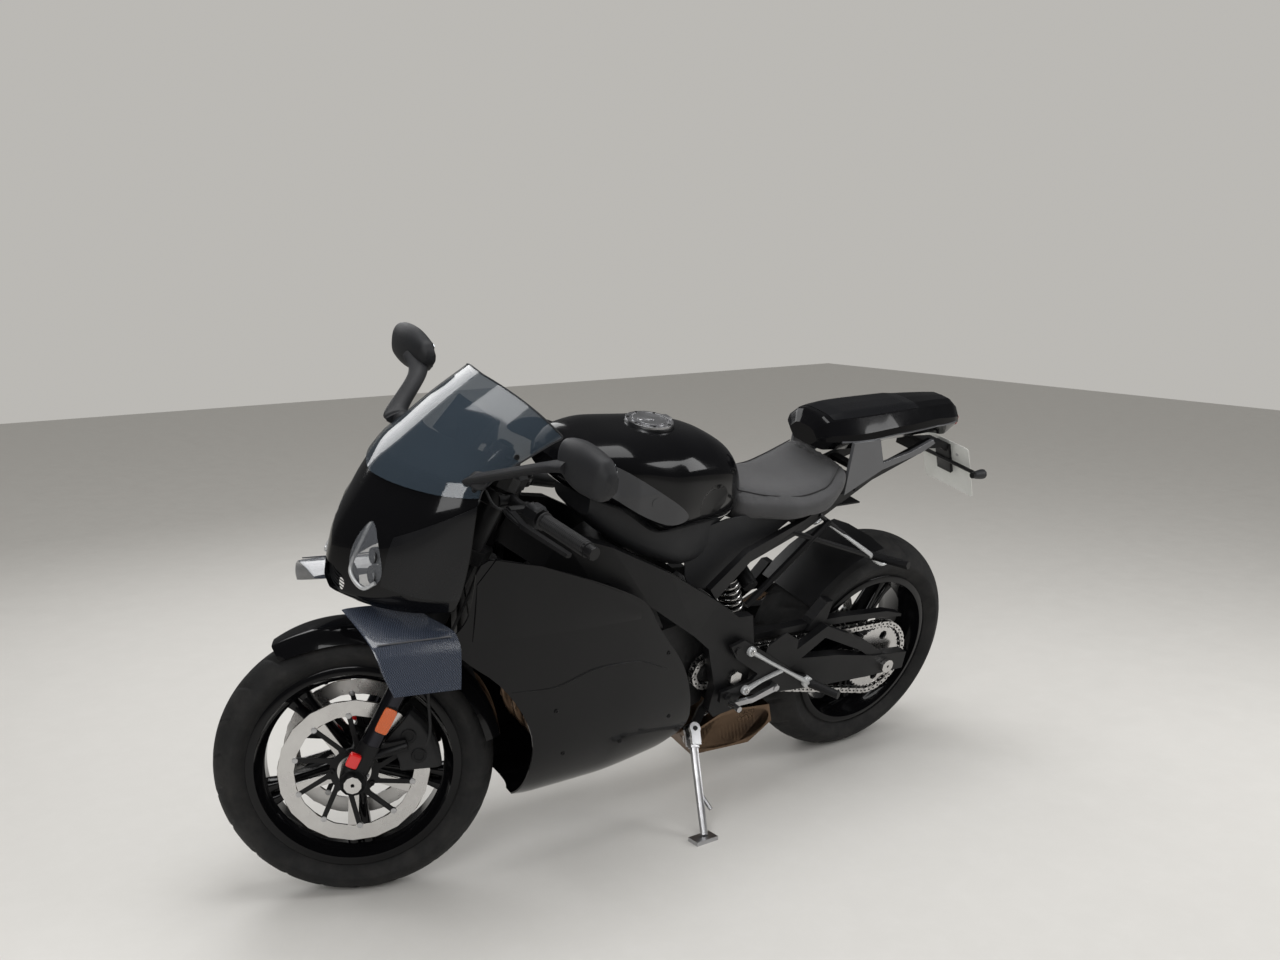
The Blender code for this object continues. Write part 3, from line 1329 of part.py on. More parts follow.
def number_plate():
    """A blank plate with rounded corners."""
    drop = PLATE_LOW - PLATE_TOP
    half, tall, corner = 0.090, drop.length, 0.010
    turn = math.atan2(drop.x, drop.z) + math.pi
    outline = []
    for cy, cz, start in ((half, tall / 2, 0), (-half, tall / 2, 90), (-half, -tall / 2, 180), (half, -tall / 2, 270)):
        middle = (cy - math.copysign(corner, cy), cz - math.copysign(corner, cz))
        outline += arc(middle, corner, start, start + 90, 3)
    shape = bmesh.new()
    face = shape.faces.new([shape.verts.new((0, y, z)) for y, z in outline])
    grown = bmesh.ops.extrude_face_region(shape, geom=[face])["geom"]
    far = [v for v in grown if isinstance(v, bmesh.types.BMVert)]
    bmesh.ops.translate(shape, verts=far, vec=(-0.0015, 0, 0))
    place = Matrix.Translation((PLATE_TOP + PLATE_LOW) / 2) @ Matrix.Rotation(turn, 4, "Y")
    return moved(from_bmesh("plate", shape), place)


def tail_lamp():
    return beam([(-0.1986, 0, 0.976, 0.030, 0.098), (-0.2100, 0, 0.976, 0.024, 0.084)], up=(0, 0, 1), chamfer=0.2)


# Assembly


def lowest(obj, place):
    """The world point of a mesh that lies lowest when it stands at this place."""
    return min((place @ v.co for v in obj.data.vertices), key=lambda p: p.z)


def stance_of(front_tyre, rear_tyre, steered):
    """The machine's place when it leans on its stand with both tyres on the ground."""
    pitch, lift = 0.0, 0.0
    for _ in range(6):
        lean = Matrix.Rotation(pitch, 4, "Y") @ Matrix.Rotation(-LEAN, 4, "X")
        place = Matrix.Translation((0, 0, lift)) @ lean
        front = lowest(front_tyre, place @ steered)
        rear = lowest(rear_tyre, place)
        pitch += math.atan((front.z - rear.z) / (front.x - rear.x))
        lift -= rear.z
    return Matrix.Translation(FRAME_SHIFT) @ place


# From the rear tyre's foot to the middle of the whole machine's box on the ground
FRAME_SHIFT = Vector((-0.7030, -0.2620, 0.0))


def axis_place(point, direction):
    return Matrix.Translation(point) @ direction.to_track_quat("Z", "Y").to_matrix().to_4x4()


def main():
    clear_scene()
    gloss = material("gloss_black_paint", (0.010, 0.010, 0.012), 0.12)
    satin = material("satin_black_paint", (0.020, 0.020, 0.022), 0.42)
    matt = material("matt_dark_grey_plastic", (0.045, 0.045, 0.050), 0.65)
    smoke = material("smoked_screen", (0.060, 0.080, 0.105), 0.08, alpha=0.55)
    carbon = material("carbon_weave", (0.090, 0.110, 0.140), 0.30)
    lens = material("lamp_lens", (0.560, 0.600, 0.640), 0.10)
    red = material("red_lens", (0.450, 0.020, 0.015), 0.20)
    alloy = material("cast_alloy", (0.420, 0.430, 0.440), 0.38, 0.9)
    steel = material("bright_steel", (0.600, 0.600, 0.610), 0.22, 1.0)
    dark_metal = material("dark_cast_metal", (0.055, 0.056, 0.060), 0.45, 0.6)
    bronze = material("heated_steel", (0.260, 0.190, 0.135), 0.35, 0.9)
    rubber = material("tyre_rubber", (0.016, 0.016, 0.017), 0.82)
    cover = material("seat_cover", (0.030, 0.030, 0.033), 0.72)
    blank = material("blank_plate", (0.720, 0.730, 0.720), 0.45)

    steer_place = axis_place(head_point((HEAD_LOW + HEAD_HIGH) / 2), AXIS_UP)
    steered = steer_place @ Matrix.Rotation(PARKED_STEER, 4, "Z") @ steer_place.inverted()
    front_tyre = tyre(FRONT_RADIUS, FRONT_HALF_WIDTH, FRONT_CROWN, FRONT_RIM_HALF, tuple(FRONT_AXLE))
    rear_tyre = tyre(REAR_RADIUS, REAR_HALF_WIDTH, REAR_CROWN, REAR_RIM_HALF, tuple(REAR_AXLE))
    leaning = stance_of(front_tyre, rear_tyre, steered)

    stance = empty("Stance", Matrix())
    steering = empty("Steering", steer_place, stance)
    front_wheel = empty("FrontWheel", axis_place(FRONT_AXLE, Vector((0, 1, 0))), steering)
    rear_wheel = empty("RearWheel", axis_place(REAR_AXLE, Vector((0, 1, 0))), stance)
    stand = empty("SideStand", axis_place(STAND_PIVOT, STAND_AXIS), stance)

    front_hub = DISC_PLANE - DISC_THICK / 2 - SEAT_GAP
    rear_hub = (REAR_DISC_PLANE + DISC_THICK / 2 + SEAT_GAP, CHAIN_PLANE - 0.003 - SEAT_GAP)
    lug = FORK_SPREAD - 0.024
    arm_near, arm_far = ARM_PLANE - ARM_THICK / 2, ARM_PLANE + ARM_THICK / 2

    publish(front_tyre, "front_tyre", rubber, front_wheel)
    publish(rim(FRONT_RIM_HALF, (-front_hub, front_hub), 0.040, FRONT_AXLE), "front_rim", gloss, front_wheel)
    for name, side in (("front_disc_left", 1), ("front_disc_right", -1)):
        publish(disc(DISC_RADIUS, DISC_BAND, side * DISC_PLANE, FRONT_AXLE), name, steel, front_wheel)

    publish(rear_tyre, "rear_tyre", rubber, rear_wheel)
    publish(rim(REAR_RIM_HALF, rear_hub, 0.052, REAR_AXLE), "rear_rim", gloss, rear_wheel)
    publish(disc(REAR_DISC_RADIUS, REAR_DISC_BAND, REAR_DISC_PLANE, REAR_AXLE), "rear_disc", steel, rear_wheel)
    publish(rear_sprocket(), "rear_sprocket", steel, rear_wheel)

    publish(steering_clamps(), "steering_clamps", dark_metal, steering)
    for name, side in (("fork_left", 1), ("fork_right", -1)):
        publish(fork_leg(side), name, satin, steering)
    left_bar = clip_on()
    right_bar = fuse(mirrored(left_bar), *brake_reservoir())
    publish(left_bar, "clip_on_left", satin, steering)
    publish(right_bar, "clip_on_right", satin, steering)
    publish(front_mudguard(), "front_mudguard", gloss, steering)
    for name, side in (("front_caliper_left", 1), ("front_caliper_right", -1)):
        publish(front_caliper(side), name, dark_metal, steering)
    front_axle = axle((WHEELBASE, FRONT_RADIUS), (-front_hub, front_hub), (-lug, lug), lug + 0.0483, 0.019)
    publish(front_axle, "front_axle", steel, steering)

    publish(main_frame(), "main_frame", satin, stance)
    publish(pivot_shaft(), "pivot_shaft", steel, stance)
    publish(subframe(), "subframe", dark_metal, stance)
    publish(engine(), "engine", dark_metal, stance)
    publish(radiator(), "radiator", dark_metal, stance)
    publish(exhaust(), "exhaust", bronze, stance)
    publish(swingarm(), "swingarm", satin, stance)
    publish(chain(), "chain", steel, stance)
    publish(hugger(), "rear_hugger", satin, stance)
    publish(rear_caliper(), "rear_caliper", dark_metal, stance)
    publish(shock(), "rear_shock", dark_metal, stance)
    rear_axle = axle((0, REAR_RADIUS), rear_hub, (-arm_near, arm_near), arm_far + SEAT_GAP, 0.020)
    publish(rear_axle, "rear_axle", steel, stance)

    left_hanger = hanger()
    publish(mirrored(left_hanger), "footrest_right", dark_metal, stance)
    publish(left_hanger, "footrest_left", dark_metal, stance)
    publish(foot_lever(0.0, 0.030), "gear_lever", dark_metal, stance)
    pedal = foot_lever(0.0, 0.012)
    publish(mirrored(pedal), "brake_pedal", dark_metal, stance)
    bpy.data.objects.remove(pedal, do_unlink=True)

    publish(nose_cowl(), "nose_cowl", gloss, stance)
    publish(screen(), "screen", smoke, stance)
    publish(headlight(), "headlight", lens, stance)
    publish(instrument(), "instrument", satin, stance)
    for name, made, look in (
        ("fairing", side_fairing, gloss),
        ("winglet", winglet, carbon),
        ("mirror", mirror, matt),
        ("tank_cover", tank_cover, matt),
        ("tail_fin", tail_fin, satin),
    ):
        left = made()
        publish(mirrored(left), name + "_right", look, stance)
        publish(left, name + "_left", look, stance)
    publish(tank(), "tank", gloss, stance)
    publish(filler_cap(), "filler_cap", alloy, stance)
    publish(rider_seat(), "rider_seat", cover, stance)
    publish(tail_cowl(), "tail_cowl", gloss, stance)
    publish(tail_lamp(), "tail_lamp", red, stance)
    publish(plate_hanger(), "plate_hanger", satin, stance)
    publish(number_plate(), "number_plate", blank, stance)

    publish(side_stand(leaning), "side_stand", alloy, stand)

    stance.matrix_basis = leaning
    steering.matrix_basis = steer_place @ Matrix.Rotation(PARKED_STEER, 4, "Z")


main()
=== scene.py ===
"""Sport motorcycle parked on its side stand: smooth skins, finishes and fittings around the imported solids."""

import json
import math

import bpy
import bmesh
import numpy as np
from mathutils import Matrix

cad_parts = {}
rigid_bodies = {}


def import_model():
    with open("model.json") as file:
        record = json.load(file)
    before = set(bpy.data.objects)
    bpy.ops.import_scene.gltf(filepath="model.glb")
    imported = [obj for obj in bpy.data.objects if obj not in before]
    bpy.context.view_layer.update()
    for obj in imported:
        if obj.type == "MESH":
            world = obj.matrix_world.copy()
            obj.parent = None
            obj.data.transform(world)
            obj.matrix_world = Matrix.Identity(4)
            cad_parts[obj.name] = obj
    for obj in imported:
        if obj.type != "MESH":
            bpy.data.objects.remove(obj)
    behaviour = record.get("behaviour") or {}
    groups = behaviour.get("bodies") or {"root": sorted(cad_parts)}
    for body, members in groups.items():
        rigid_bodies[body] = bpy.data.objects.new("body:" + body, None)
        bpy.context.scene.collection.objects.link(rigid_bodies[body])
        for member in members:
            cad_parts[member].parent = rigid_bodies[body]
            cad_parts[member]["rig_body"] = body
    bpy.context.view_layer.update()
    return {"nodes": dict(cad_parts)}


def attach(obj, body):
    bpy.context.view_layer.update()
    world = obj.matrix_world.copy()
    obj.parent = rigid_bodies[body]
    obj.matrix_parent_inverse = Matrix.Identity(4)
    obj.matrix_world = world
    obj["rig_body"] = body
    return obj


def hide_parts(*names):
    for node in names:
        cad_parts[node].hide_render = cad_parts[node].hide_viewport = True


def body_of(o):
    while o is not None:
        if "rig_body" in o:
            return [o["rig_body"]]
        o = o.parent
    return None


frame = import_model()

# The machine is drawn upright: x forward from the rear axle, y to the rider's left, z up.
# STANCE leans it by 13.6 degrees on its stand, levels both tyres on the ground and moves it to the frame's origin.
STANCE = np.array([
    [0.9999919534, 0.0009439177, -0.0039016879, -0.703],
    [0.0, 0.9719610214, 0.2351421118, -0.262],
    [0.0040142434, -0.2351402193, 0.9719531536, 0.0],
])
SIDES = ((1, "left"), (-1, "right"))
BEAD_SEAT_RADIUS = 0.2159
RAKE = math.radians(23.8)
WHEELBASE = 1.457
TRAIL = 0.0998
PARKED_STEER = math.radians(-28.0)
FRONT_AXLE = np.array([WHEELBASE, 0.0, 0.300])
REAR_AXLE = np.array([0.0, 0.0, 0.3225])
UP_FORK = np.array([-math.sin(RAKE), 0.0, math.cos(RAKE)])
AHEAD = np.array([math.cos(RAKE), 0.0, math.sin(RAKE)])
FORK_OFFSET = 0.300 * math.sin(RAKE) - TRAIL * math.cos(RAKE)
FORK_SPREAD = 0.105


def on_fork(along, y=0.0, ahead=0.0):
    """A point up the fork from the axle."""
    return FRONT_AXLE + UP_FORK * along + AHEAD * ahead + np.array([0.0, y, 0.0])


STEER_PIVOT = on_fork(0.630, 0.0, -FORK_OFFSET)


def steered(points):
    """Points turned about the steering axis to the parked lock, by the formula of an axis and an angle."""
    arm = points - STEER_PIVOT
    c, s = math.cos(PARKED_STEER), math.sin(PARKED_STEER)
    along = (arm @ UP_FORK)[..., None] * UP_FORK
    return STEER_PIVOT + arm * c + np.cross(UP_FORK, arm) * s + along * (1 - c)


def placed(points, body):
    """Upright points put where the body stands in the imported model."""
    points = np.asarray(points, float)
    if body in ("steering", "front_wheel"):
        points = steered(points)
    return points @ STANCE[:, :3].T + STANCE[:, 3]


# Finishes


def shared_group(name, inputs, outputs):
    """A node group with these inputs and outputs, and its two end nodes."""
    tree = bpy.data.node_groups.new(name, "ShaderNodeTree")
    for label, kind, value in inputs:
        socket = tree.interface.new_socket(label, in_out="INPUT", socket_type=kind)
        if value is not None:
            socket.default_value = value
    for label, kind in outputs:
        tree.interface.new_socket(label, in_out="OUTPUT", socket_type=kind)
    return tree, tree.nodes.new("NodeGroupInput"), tree.nodes.new("NodeGroupOutput")


def grain_group():
    """Fine cast or moulded grain: two octaves of noise as a height."""
    tree, take, give = shared_group(
        "fine_grain", [("Vector", "NodeSocketVector", None), ("Scale", "NodeSocketFloat", 800.0)],
        [("Height", "NodeSocketFloat")]
    )
    noise = tree.nodes.new("ShaderNodeTexNoise")
    noise.inputs["Detail"].default_value = 3.0
    tree.links.new(take.outputs["Vector"], noise.inputs["Vector"])
    tree.links.new(take.outputs["Scale"], noise.inputs["Scale"])
    tree.links.new(noise.outputs["Fac"], give.inputs["Height"])
    return tree


def spread_group():
    """A value that drifts between two levels over the surface, as handling marks do."""
    tree, take, give = shared_group(
        "spread",
        [("Vector", "NodeSocketVector", None), ("Scale", "NodeSocketFloat", 9.0),
         ("Low", "NodeSocketFloat", 0.1),
         ("High", "NodeSocketFloat", 0.2)],
        [("Value", "NodeSocketFloat")],
    )
    noise = tree.nodes.new("ShaderNodeTexNoise")
    noise.inputs["Detail"].default_value = 5.0
    noise.inputs["Roughness"].default_value = 0.62
    reach = tree.nodes.new("ShaderNodeMapRange")
    reach.inputs["From Min"].default_value = 0.34
    reach.inputs["From Max"].default_value = 0.68
    tree.links.new(take.outputs["Vector"], noise.inputs["Vector"])
    tree.links.new(take.outputs["Scale"], noise.inputs["Scale"])
    tree.links.new(noise.outputs["Fac"], reach.inputs["Value"])
    tree.links.new(take.outputs["Low"], reach.inputs["To Min"])
    tree.links.new(take.outputs["High"], reach.inputs["To Max"])
    tree.links.new(reach.outputs["Result"], give.inputs["Value"])
    return tree


def dust_group():
    """Road dust that gathers where a soft noise lies."""
    tree, take, give = shared_group(
        "road_dust",
        [("Vector", "NodeSocketVector", None), ("Clean", "NodeSocketColor", (0.02, 0.02, 0.02, 1)),
         ("Dusty", "NodeSocketColor", (0.2, 0.19, 0.17, 1)), ("Amount", "NodeSocketFloat", 0.2)],
        [("Color", "NodeSocketColor")],
    )
    noise = tree.nodes.new("ShaderNodeTexNoise")
    noise.inputs["Scale"].default_value = 14.0
    noise.inputs["Detail"].default_value = 8.0
    noise.inputs["Roughness"].default_value = 0.7
    reach = tree.nodes.new("ShaderNodeMapRange")
    reach.inputs["From Min"].default_value = 0.45
    reach.inputs["From Max"].default_value = 0.80
    times = tree.nodes.new("ShaderNodeMath")
    times.operation = "MULTIPLY"
    mix = tree.nodes.new("ShaderNodeMix")
    mix.data_type = "RGBA"
    tree.links.new(take.outputs["Vector"], noise.inputs["Vector"])
    tree.links.new(noise.outputs["Fac"], reach.inputs["Value"])
    tree.links.new(reach.outputs["Result"], times.inputs[0])
    tree.links.new(take.outputs["Amount"], times.inputs[1])
    tree.links.new(times.outputs["Value"], mix.inputs["Factor"])
    tree.links.new(take.outputs["Clean"], mix.inputs["A"])
    tree.links.new(take.outputs["Dusty"], mix.inputs["B"])
    tree.links.new(mix.outputs["Result"], give.inputs["Color"])
    return tree


def weave_group():
    """A twill weave: square tows whose turn alternates, as a mask and a height."""
    tree, take, give = shared_group(
        "twill_weave", [("Vector", "NodeSocketVector", None), ("Scale", "NodeSocketFloat", 260.0)],
        [("Mask", "NodeSocketFloat"), ("Height", "NodeSocketFloat")],
    )
    checks = tree.nodes.new("ShaderNodeTexChecker")
    checks.inputs["Color1"].default_value = (1, 1, 1, 1)
    checks.inputs["Color2"].default_value = (0, 0, 0, 1)
    waves = tree.nodes.new("ShaderNodeTexWave")
    waves.bands_direction = "DIAGONAL"
    waves.inputs["Distortion"].default_value = 0.4
    mix = tree.nodes.new("ShaderNodeMath")
    mix.operation = "MULTIPLY_ADD"
    mix.inputs[1].default_value = 0.6
    for node in (checks, waves):
        tree.links.new(take.outputs["Vector"], node.inputs["Vector"])
        tree.links.new(take.outputs["Scale"], node.inputs["Scale"])
    tree.links.new(checks.outputs["Fac"], mix.inputs[0])
    tree.links.new(waves.outputs["Fac"], mix.inputs[2])
    tree.links.new(mix.outputs["Value"], give.inputs["Height"])
    tree.links.new(checks.outputs["Fac"], give.inputs["Mask"])
    return tree


GRAIN, SPREAD, DUST, WEAVE = grain_group(), spread_group(), dust_group(), weave_group()


def finish_of(
    name, colour, dusty=None, dust=0.12, rough=(0.2, 0.3), metallic=0.0, coat=0.0, grain=900.0, relief=0.0002,
    sheen=0.0, coords="Object", weave=0.0, alpha=1.0, stretch=None, specular=0.5,
):
    """One finish: dust over the base colour, drifting roughness and a fine relief, all from shared groups."""
    look = bpy.data.materials.new(name)
    look.use_nodes = True
    tree = look.node_tree
    shader = tree.nodes["Principled BSDF"]
    place = tree.nodes.new("ShaderNodeTexCoord")
    source = place.outputs[coords]
    if stretch:
        turn = tree.nodes.new("ShaderNodeMapping")
        turn.inputs["Scale"].default_value = stretch
        tree.links.new(source, turn.inputs["Vector"])
        source = turn.outputs["Vector"]
    settle = tree.nodes.new("ShaderNodeGroup")
    settle.node_tree = DUST
    settle.inputs["Clean"].default_value = (*colour, 1)
    settle.inputs["Dusty"].default_value = (*(dusty or tuple(min(1, c * 1.8 + 0.02) for c in colour)), 1)
    settle.inputs["Amount"].default_value = dust
    drift = tree.nodes.new("ShaderNodeGroup")
    drift.node_tree = SPREAD
    drift.inputs["Low"].default_value, drift.inputs["High"].default_value = rough
    tree.links.new(place.outputs["Object"], settle.inputs["Vector"])
    tree.links.new(place.outputs["Object"], drift.inputs["Vector"])
    tree.links.new(settle.outputs["Color"], shader.inputs["Base Color"])
    tree.links.new(drift.outputs["Value"], shader.inputs["Roughness"])
    bump = tree.nodes.new("ShaderNodeBump")
    bump.inputs["Distance"].default_value = relief
    pattern = tree.nodes.new("ShaderNodeGroup")
    pattern.node_tree = WEAVE if weave else GRAIN
    pattern.inputs["Scale"].default_value = weave or grain
    tree.links.new(source, pattern.inputs["Vector"])
    tree.links.new(pattern.outputs["Height"], bump.inputs["Height"])
    tree.links.new(bump.outputs["Normal"], shader.inputs["Normal"])
    if weave:
        tows = tree.nodes.new("ShaderNodeMix")
        tows.data_type = "RGBA"
        tows.inputs["B"].default_value = (*(c * 1.9 + 0.01 for c in colour), 1)
        tree.links.new(pattern.outputs["Mask"], tows.inputs["Factor"])
        tree.links.new(settle.outputs["Color"], tows.inputs["A"])
        tree.links.new(tows.outputs["Result"], shader.inputs["Base Color"])
    shader.inputs["Metallic"].default_value = metallic
    shader.inputs["Coat Weight"].default_value = coat
    shader.inputs["Coat Roughness"].default_value = 0.03
    shader.inputs["Sheen Weight"].default_value = sheen
    shader.inputs["Specular IOR Level"].default_value = specular
    shader.inputs["Alpha"].default_value = alpha
    look.diffuse_color = (*colour, alpha)
    return look


def clear_finish(name, colour, rough, alpha, transmission=0.0):
    """A smooth see-through finish."""
    look = finish_of(name, colour, dust=0.02, rough=rough, coat=0.6, grain=12.0, relief=0.00001, alpha=alpha)
    look.node_tree.nodes["Principled BSDF"].inputs["Transmission Weight"].default_value = transmission
    return look


PAINT = finish_of("gloss_black_paint", (0.0030, 0.0030, 0.0036), dust=0.02, rough=(0.10, 0.20), coat=0.30,
                  grain=260, relief=0.00003,
                  specular=0.09)
SATIN = finish_of("satin_black_metal", (0.0058, 0.0058, 0.0065), dust=0.06, rough=(0.34, 0.48), grain=1400,
                  relief=0.00008, specular=0.22)
PLASTIC = finish_of("dark_grey_moulding", (0.012, 0.0125, 0.0145), dust=0.08, specular=0.35,
                    rough=(0.50, 0.64), grain=2600, relief=0.00016)
SMOKE = clear_finish("smoked_screen", (0.034, 0.048, 0.064), (0.06, 0.10), 0.60)
CARBON = finish_of("carbon_twill", (0.017, 0.022, 0.034), dust=0.05, rough=(0.16, 0.26), coat=0.9, weave=420,
                   relief=0.00008)
LENS = clear_finish("clear_lamp_lens", (0.16, 0.17, 0.19), (0.03, 0.08), 0.30)
RED = finish_of("red_moulding", (0.62, 0.008, 0.008), dust=0.05, rough=(0.16, 0.26), coat=0.7)
AMBER = finish_of("amber_reflector", (0.50, 0.085, 0.008), dust=0.08, rough=(0.14, 0.24), coat=0.8, weave=700,
                  relief=0.0003)
ALLOY = finish_of("satin_alloy", (0.46, 0.46, 0.47), dust=0.18, rough=(0.26, 0.40), metallic=1.0, grain=1800,
                  relief=0.0001)
STEEL = finish_of("ground_steel", (0.56, 0.55, 0.54), dust=0.20, rough=(0.20, 0.34), metallic=1.0, grain=60,
                  relief=0.00012,
                  stretch=(1.0, 26.0, 1.0))
CAST = finish_of("dark_casting", (0.014, 0.014, 0.015), dust=0.25, rough=(0.40, 0.58), metallic=0.5,
                 grain=700, relief=0.0005)
BRONZE = finish_of("heated_steel", (0.19, 0.125, 0.080), dusty=(0.055, 0.042, 0.036), dust=0.7,
                   rough=(0.24, 0.42), metallic=1.0,
                   grain=120, relief=0.0001)
RUBBER = finish_of("tyre_rubber", (0.0105, 0.0105, 0.011), dusty=(0.07, 0.065, 0.06), dust=0.30,
                   rough=(0.62, 0.86), grain=900,
                   relief=0.0006, specular=0.3)
GRIP = finish_of("grip_rubber", (0.012, 0.012, 0.013), dust=0.14, rough=(0.60, 0.78), grain=1500,
                 relief=0.0004)
COVER = finish_of("seat_cover", (0.040, 0.040, 0.043), dusty=(0.075, 0.075, 0.078), dust=0.18,
                  rough=(0.52, 0.68), grain=1500,
                  relief=0.0009, sheen=0.15)
PLATE = finish_of("blank_plate", (0.66, 0.67, 0.64), dust=0.25, rough=(0.30, 0.45), grain=500)
GLASS = finish_of("mirror_glass", (0.60, 0.64, 0.68), dust=0.03, rough=(0.03, 0.06), metallic=1.0, grain=20,
                  relief=0.00002)
FLANK = finish_of("grey_flank_moulding", (0.036, 0.037, 0.040), dust=0.10, rough=(0.42, 0.54), grain=2200,
                  relief=0.00012, specular=0.4)
SILVER = finish_of("silver_paint", (0.50, 0.51, 0.52), dust=0.10, rough=(0.24, 0.34), coat=0.5, metallic=0.4)
GREY = finish_of("mid_grey_paint", (0.085, 0.087, 0.094), dust=0.10, rough=(0.30, 0.40), coat=0.3,
                 metallic=0.3)
DISC = finish_of("brake_steel", (0.088, 0.074, 0.060), dusty=(0.050, 0.040, 0.031), dust=0.40,
                 rough=(0.30, 0.42), metallic=1.0, grain=90, relief=0.0001)
SLIDER = finish_of("dark_slider", (0.028, 0.028, 0.034), dust=0.05, rough=(0.14, 0.20), metallic=0.9,
                   grain=300, relief=0.00003)
PANEL = finish_of("grey_black_panel", (0.0062, 0.0064, 0.0075), dust=0.04, rough=(0.24, 0.34), coat=0.22,
                  grain=500, relief=0.00004,
                  specular=0.16)
DISPLAY = finish_of("display_glass", (0.006, 0.007, 0.010), dust=0.02, rough=(0.03, 0.08), coat=1.0, grain=30,
                    relief=0.00002)


# Surfaces


def grid_faces(rows, columns, close_rows=False, close_columns=False, first=0):
    """The quads of a grid of points, wrapped round on request."""
    index = first + np.arange(rows * columns).reshape(rows, columns)
    if close_rows:
        index = np.vstack([index, index[:1]])
    if close_columns:
        index = np.hstack([index, index[:, :1]])
    quads = np.stack([index[:-1, :-1], index[1:, :-1], index[1:, 1:], index[:-1, 1:]], axis=-1)
    return quads.reshape(-1, 4)


def piece(name, points, faces, look, body, stands_for=(), sharp=38.0, wall=0.0, bevel=0.0, closed=True):
    """A finished object from points and faces, in its place, riding on its body."""
    mesh = bpy.data.meshes.new(name)
    mesh.from_pydata(placed(points, body).tolist(), [], [list(map(int, face)) for face in faces])
    shape = bmesh.new()
    shape.from_mesh(mesh)
    bmesh.ops.remove_doubles(shape, verts=shape.verts, dist=2e-6)
    if closed:
        bmesh.ops.recalc_face_normals(shape, faces=shape.faces)
    shape.to_mesh(mesh)
    shape.free()
    mesh.shade_smooth()
    mesh.set_sharp_from_angle(angle=math.radians(sharp))
    mesh.materials.append(look)
    obj = bpy.data.objects.new(name, mesh)
    bpy.context.scene.collection.objects.link(obj)
    if wall:
        thick = obj.modifiers.new("Wall", "SOLIDIFY")
        thick.thickness = wall
        thick.offset = -1.0
    if bevel:
        round_off = obj.modifiers.new("Round", "BEVEL")
        round_off.width = bevel
        round_off.segments = 2
        round_off.limit_method = "ANGLE"
    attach(obj, body)
    if stands_for:
        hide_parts(*stands_for)
    return obj


def closed_loft(rings):
    """A closed form's points and faces: rings along a path, with a pole in the middle of each end ring."""
    rings = np.asarray(rings, float)
    count, around = rings.shape[:2]
    faces = list(grid_faces(count, around, close_columns=True))
    points = np.vstack([rings.reshape(-1, 3), rings[0].mean(0), rings[-1].mean(0)])
    pole = count * around
    step = np.arange(around)
    after = (step + 1) % around
    faces += [(a, b, pole) for a, b in zip(step, after)]
    last = (count - 1) * around
    faces += [(last + b, last + a, pole + 1) for a, b in zip(step, after)]
    return points, faces


def together(*forms):
    """Several point and face sets as one."""
    points, faces, first = [], [], 0
    for some, quads in forms:
        points.append(np.asarray(some, float))
        faces += [tuple(int(i) + first for i in quad) for quad in quads]
        first += len(some)
    return np.vstack(points), faces


def unit(v):
    """The same direction at length one."""
    v = np.asarray(v, float)
    return v / np.linalg.norm(v)


def axes_for(run):
    """Two directions square to a run."""
    run = unit(run)
    aside = np.cross(run, [0.0, 0.0, 1.0] if abs(run[2]) < 0.9 else [1.0, 0.0, 0.0])
    aside = unit(aside)
    return aside, np.cross(aside, run)


def lathe(start, run, profile, steps=28):
    """A turned form: (distance along the axis, radius) pairs carried round the axis."""
    run = unit(run)
    a, b = axes_for(run)
    turn = np.linspace(0, math.tau, steps, endpoint=False)
    ring = np.cos(turn)[:, None] * a + np.sin(turn)[:, None] * b
    along = np.array([p[0] for p in profile])[:, None, None] * run
    out = np.array([p[1] for p in profile])[:, None, None] * ring[None]
    return closed_loft(np.asarray(start) + along + out)


def smooth_path(points, count):
    """A curve through all points: one cubic a span, its slopes half the step between the neighbours."""
    p = np.asarray(points, float)
    p = np.vstack([2 * p[0] - p[1], p, 2 * p[-1] - p[-2]])
    spans = len(p) - 3
    t = np.linspace(0, spans - 1e-9, count)
    i = t.astype(int)
    f = (t - i)[:, None]
    a, b, c, d = p[i], p[i + 1], p[i + 2], p[i + 3]
    return 0.5 * (2 * b + (c - a) * f + (2 * a - 5 * b + 4 * c - d) * f**2 + (3 * b - a - 3 * c + d) * f**3)


def pipe(points, radius, count=40, around=12, flat=1.0):
    """A round or flattened bar along a smooth path, its rings turned as little as possible on the way."""
    path = smooth_path(points, count)
    run = np.gradient(path, axis=0)
    run /= np.linalg.norm(run, axis=1)[:, None]
    side = axes_for(run[0])[0]
    rings = []
    turn = np.linspace(0, math.tau, around, endpoint=False)
    radii = np.broadcast_to(np.asarray(radius, float), (count,)) if np.ndim(radius) == 0 else np.interp(
        np.linspace(0, 1, count), np.linspace(0, 1, len(radius)), radius)
    for k in range(count):
        side = unit(side - run[k] * (side @ run[k]))
        up = np.cross(run[k], side)
        rings.append(path[k] + radii[k] * (np.cos(turn)[:, None] * side + flat * np.sin(turn)[:, None] * up))
    return closed_loft(rings)


def pillow(centre, size, right=(0, 1, 0), up=(0, 0, 1), power=5.0, steps=14):
    """A block with soft corners: a superellipsoid of that power between three axes."""
    right, up = unit(right), unit(up)
    ahead = np.cross(right, up)
    lat = np.linspace(-math.pi / 2, math.pi / 2, steps)
    lon = np.linspace(0, math.tau, steps * 2, endpoint=False)
    soft = lambda v: np.sign(v) * np.abs(v) ** (2 / power)
    x = soft(np.cos(lat))[:, None] * soft(np.cos(lon))[None]
    y = soft(np.cos(lat))[:, None] * soft(np.sin(lon))[None]
    z = soft(np.sin(lat))[:, None] * np.ones_like(lon)[None]
    points = np.asarray(centre) + 0.5 * (
        x[..., None] * size[0] * ahead + y[..., None] * size[1] * right + z[..., None] * size[2] * up)
    return closed_loft(points)


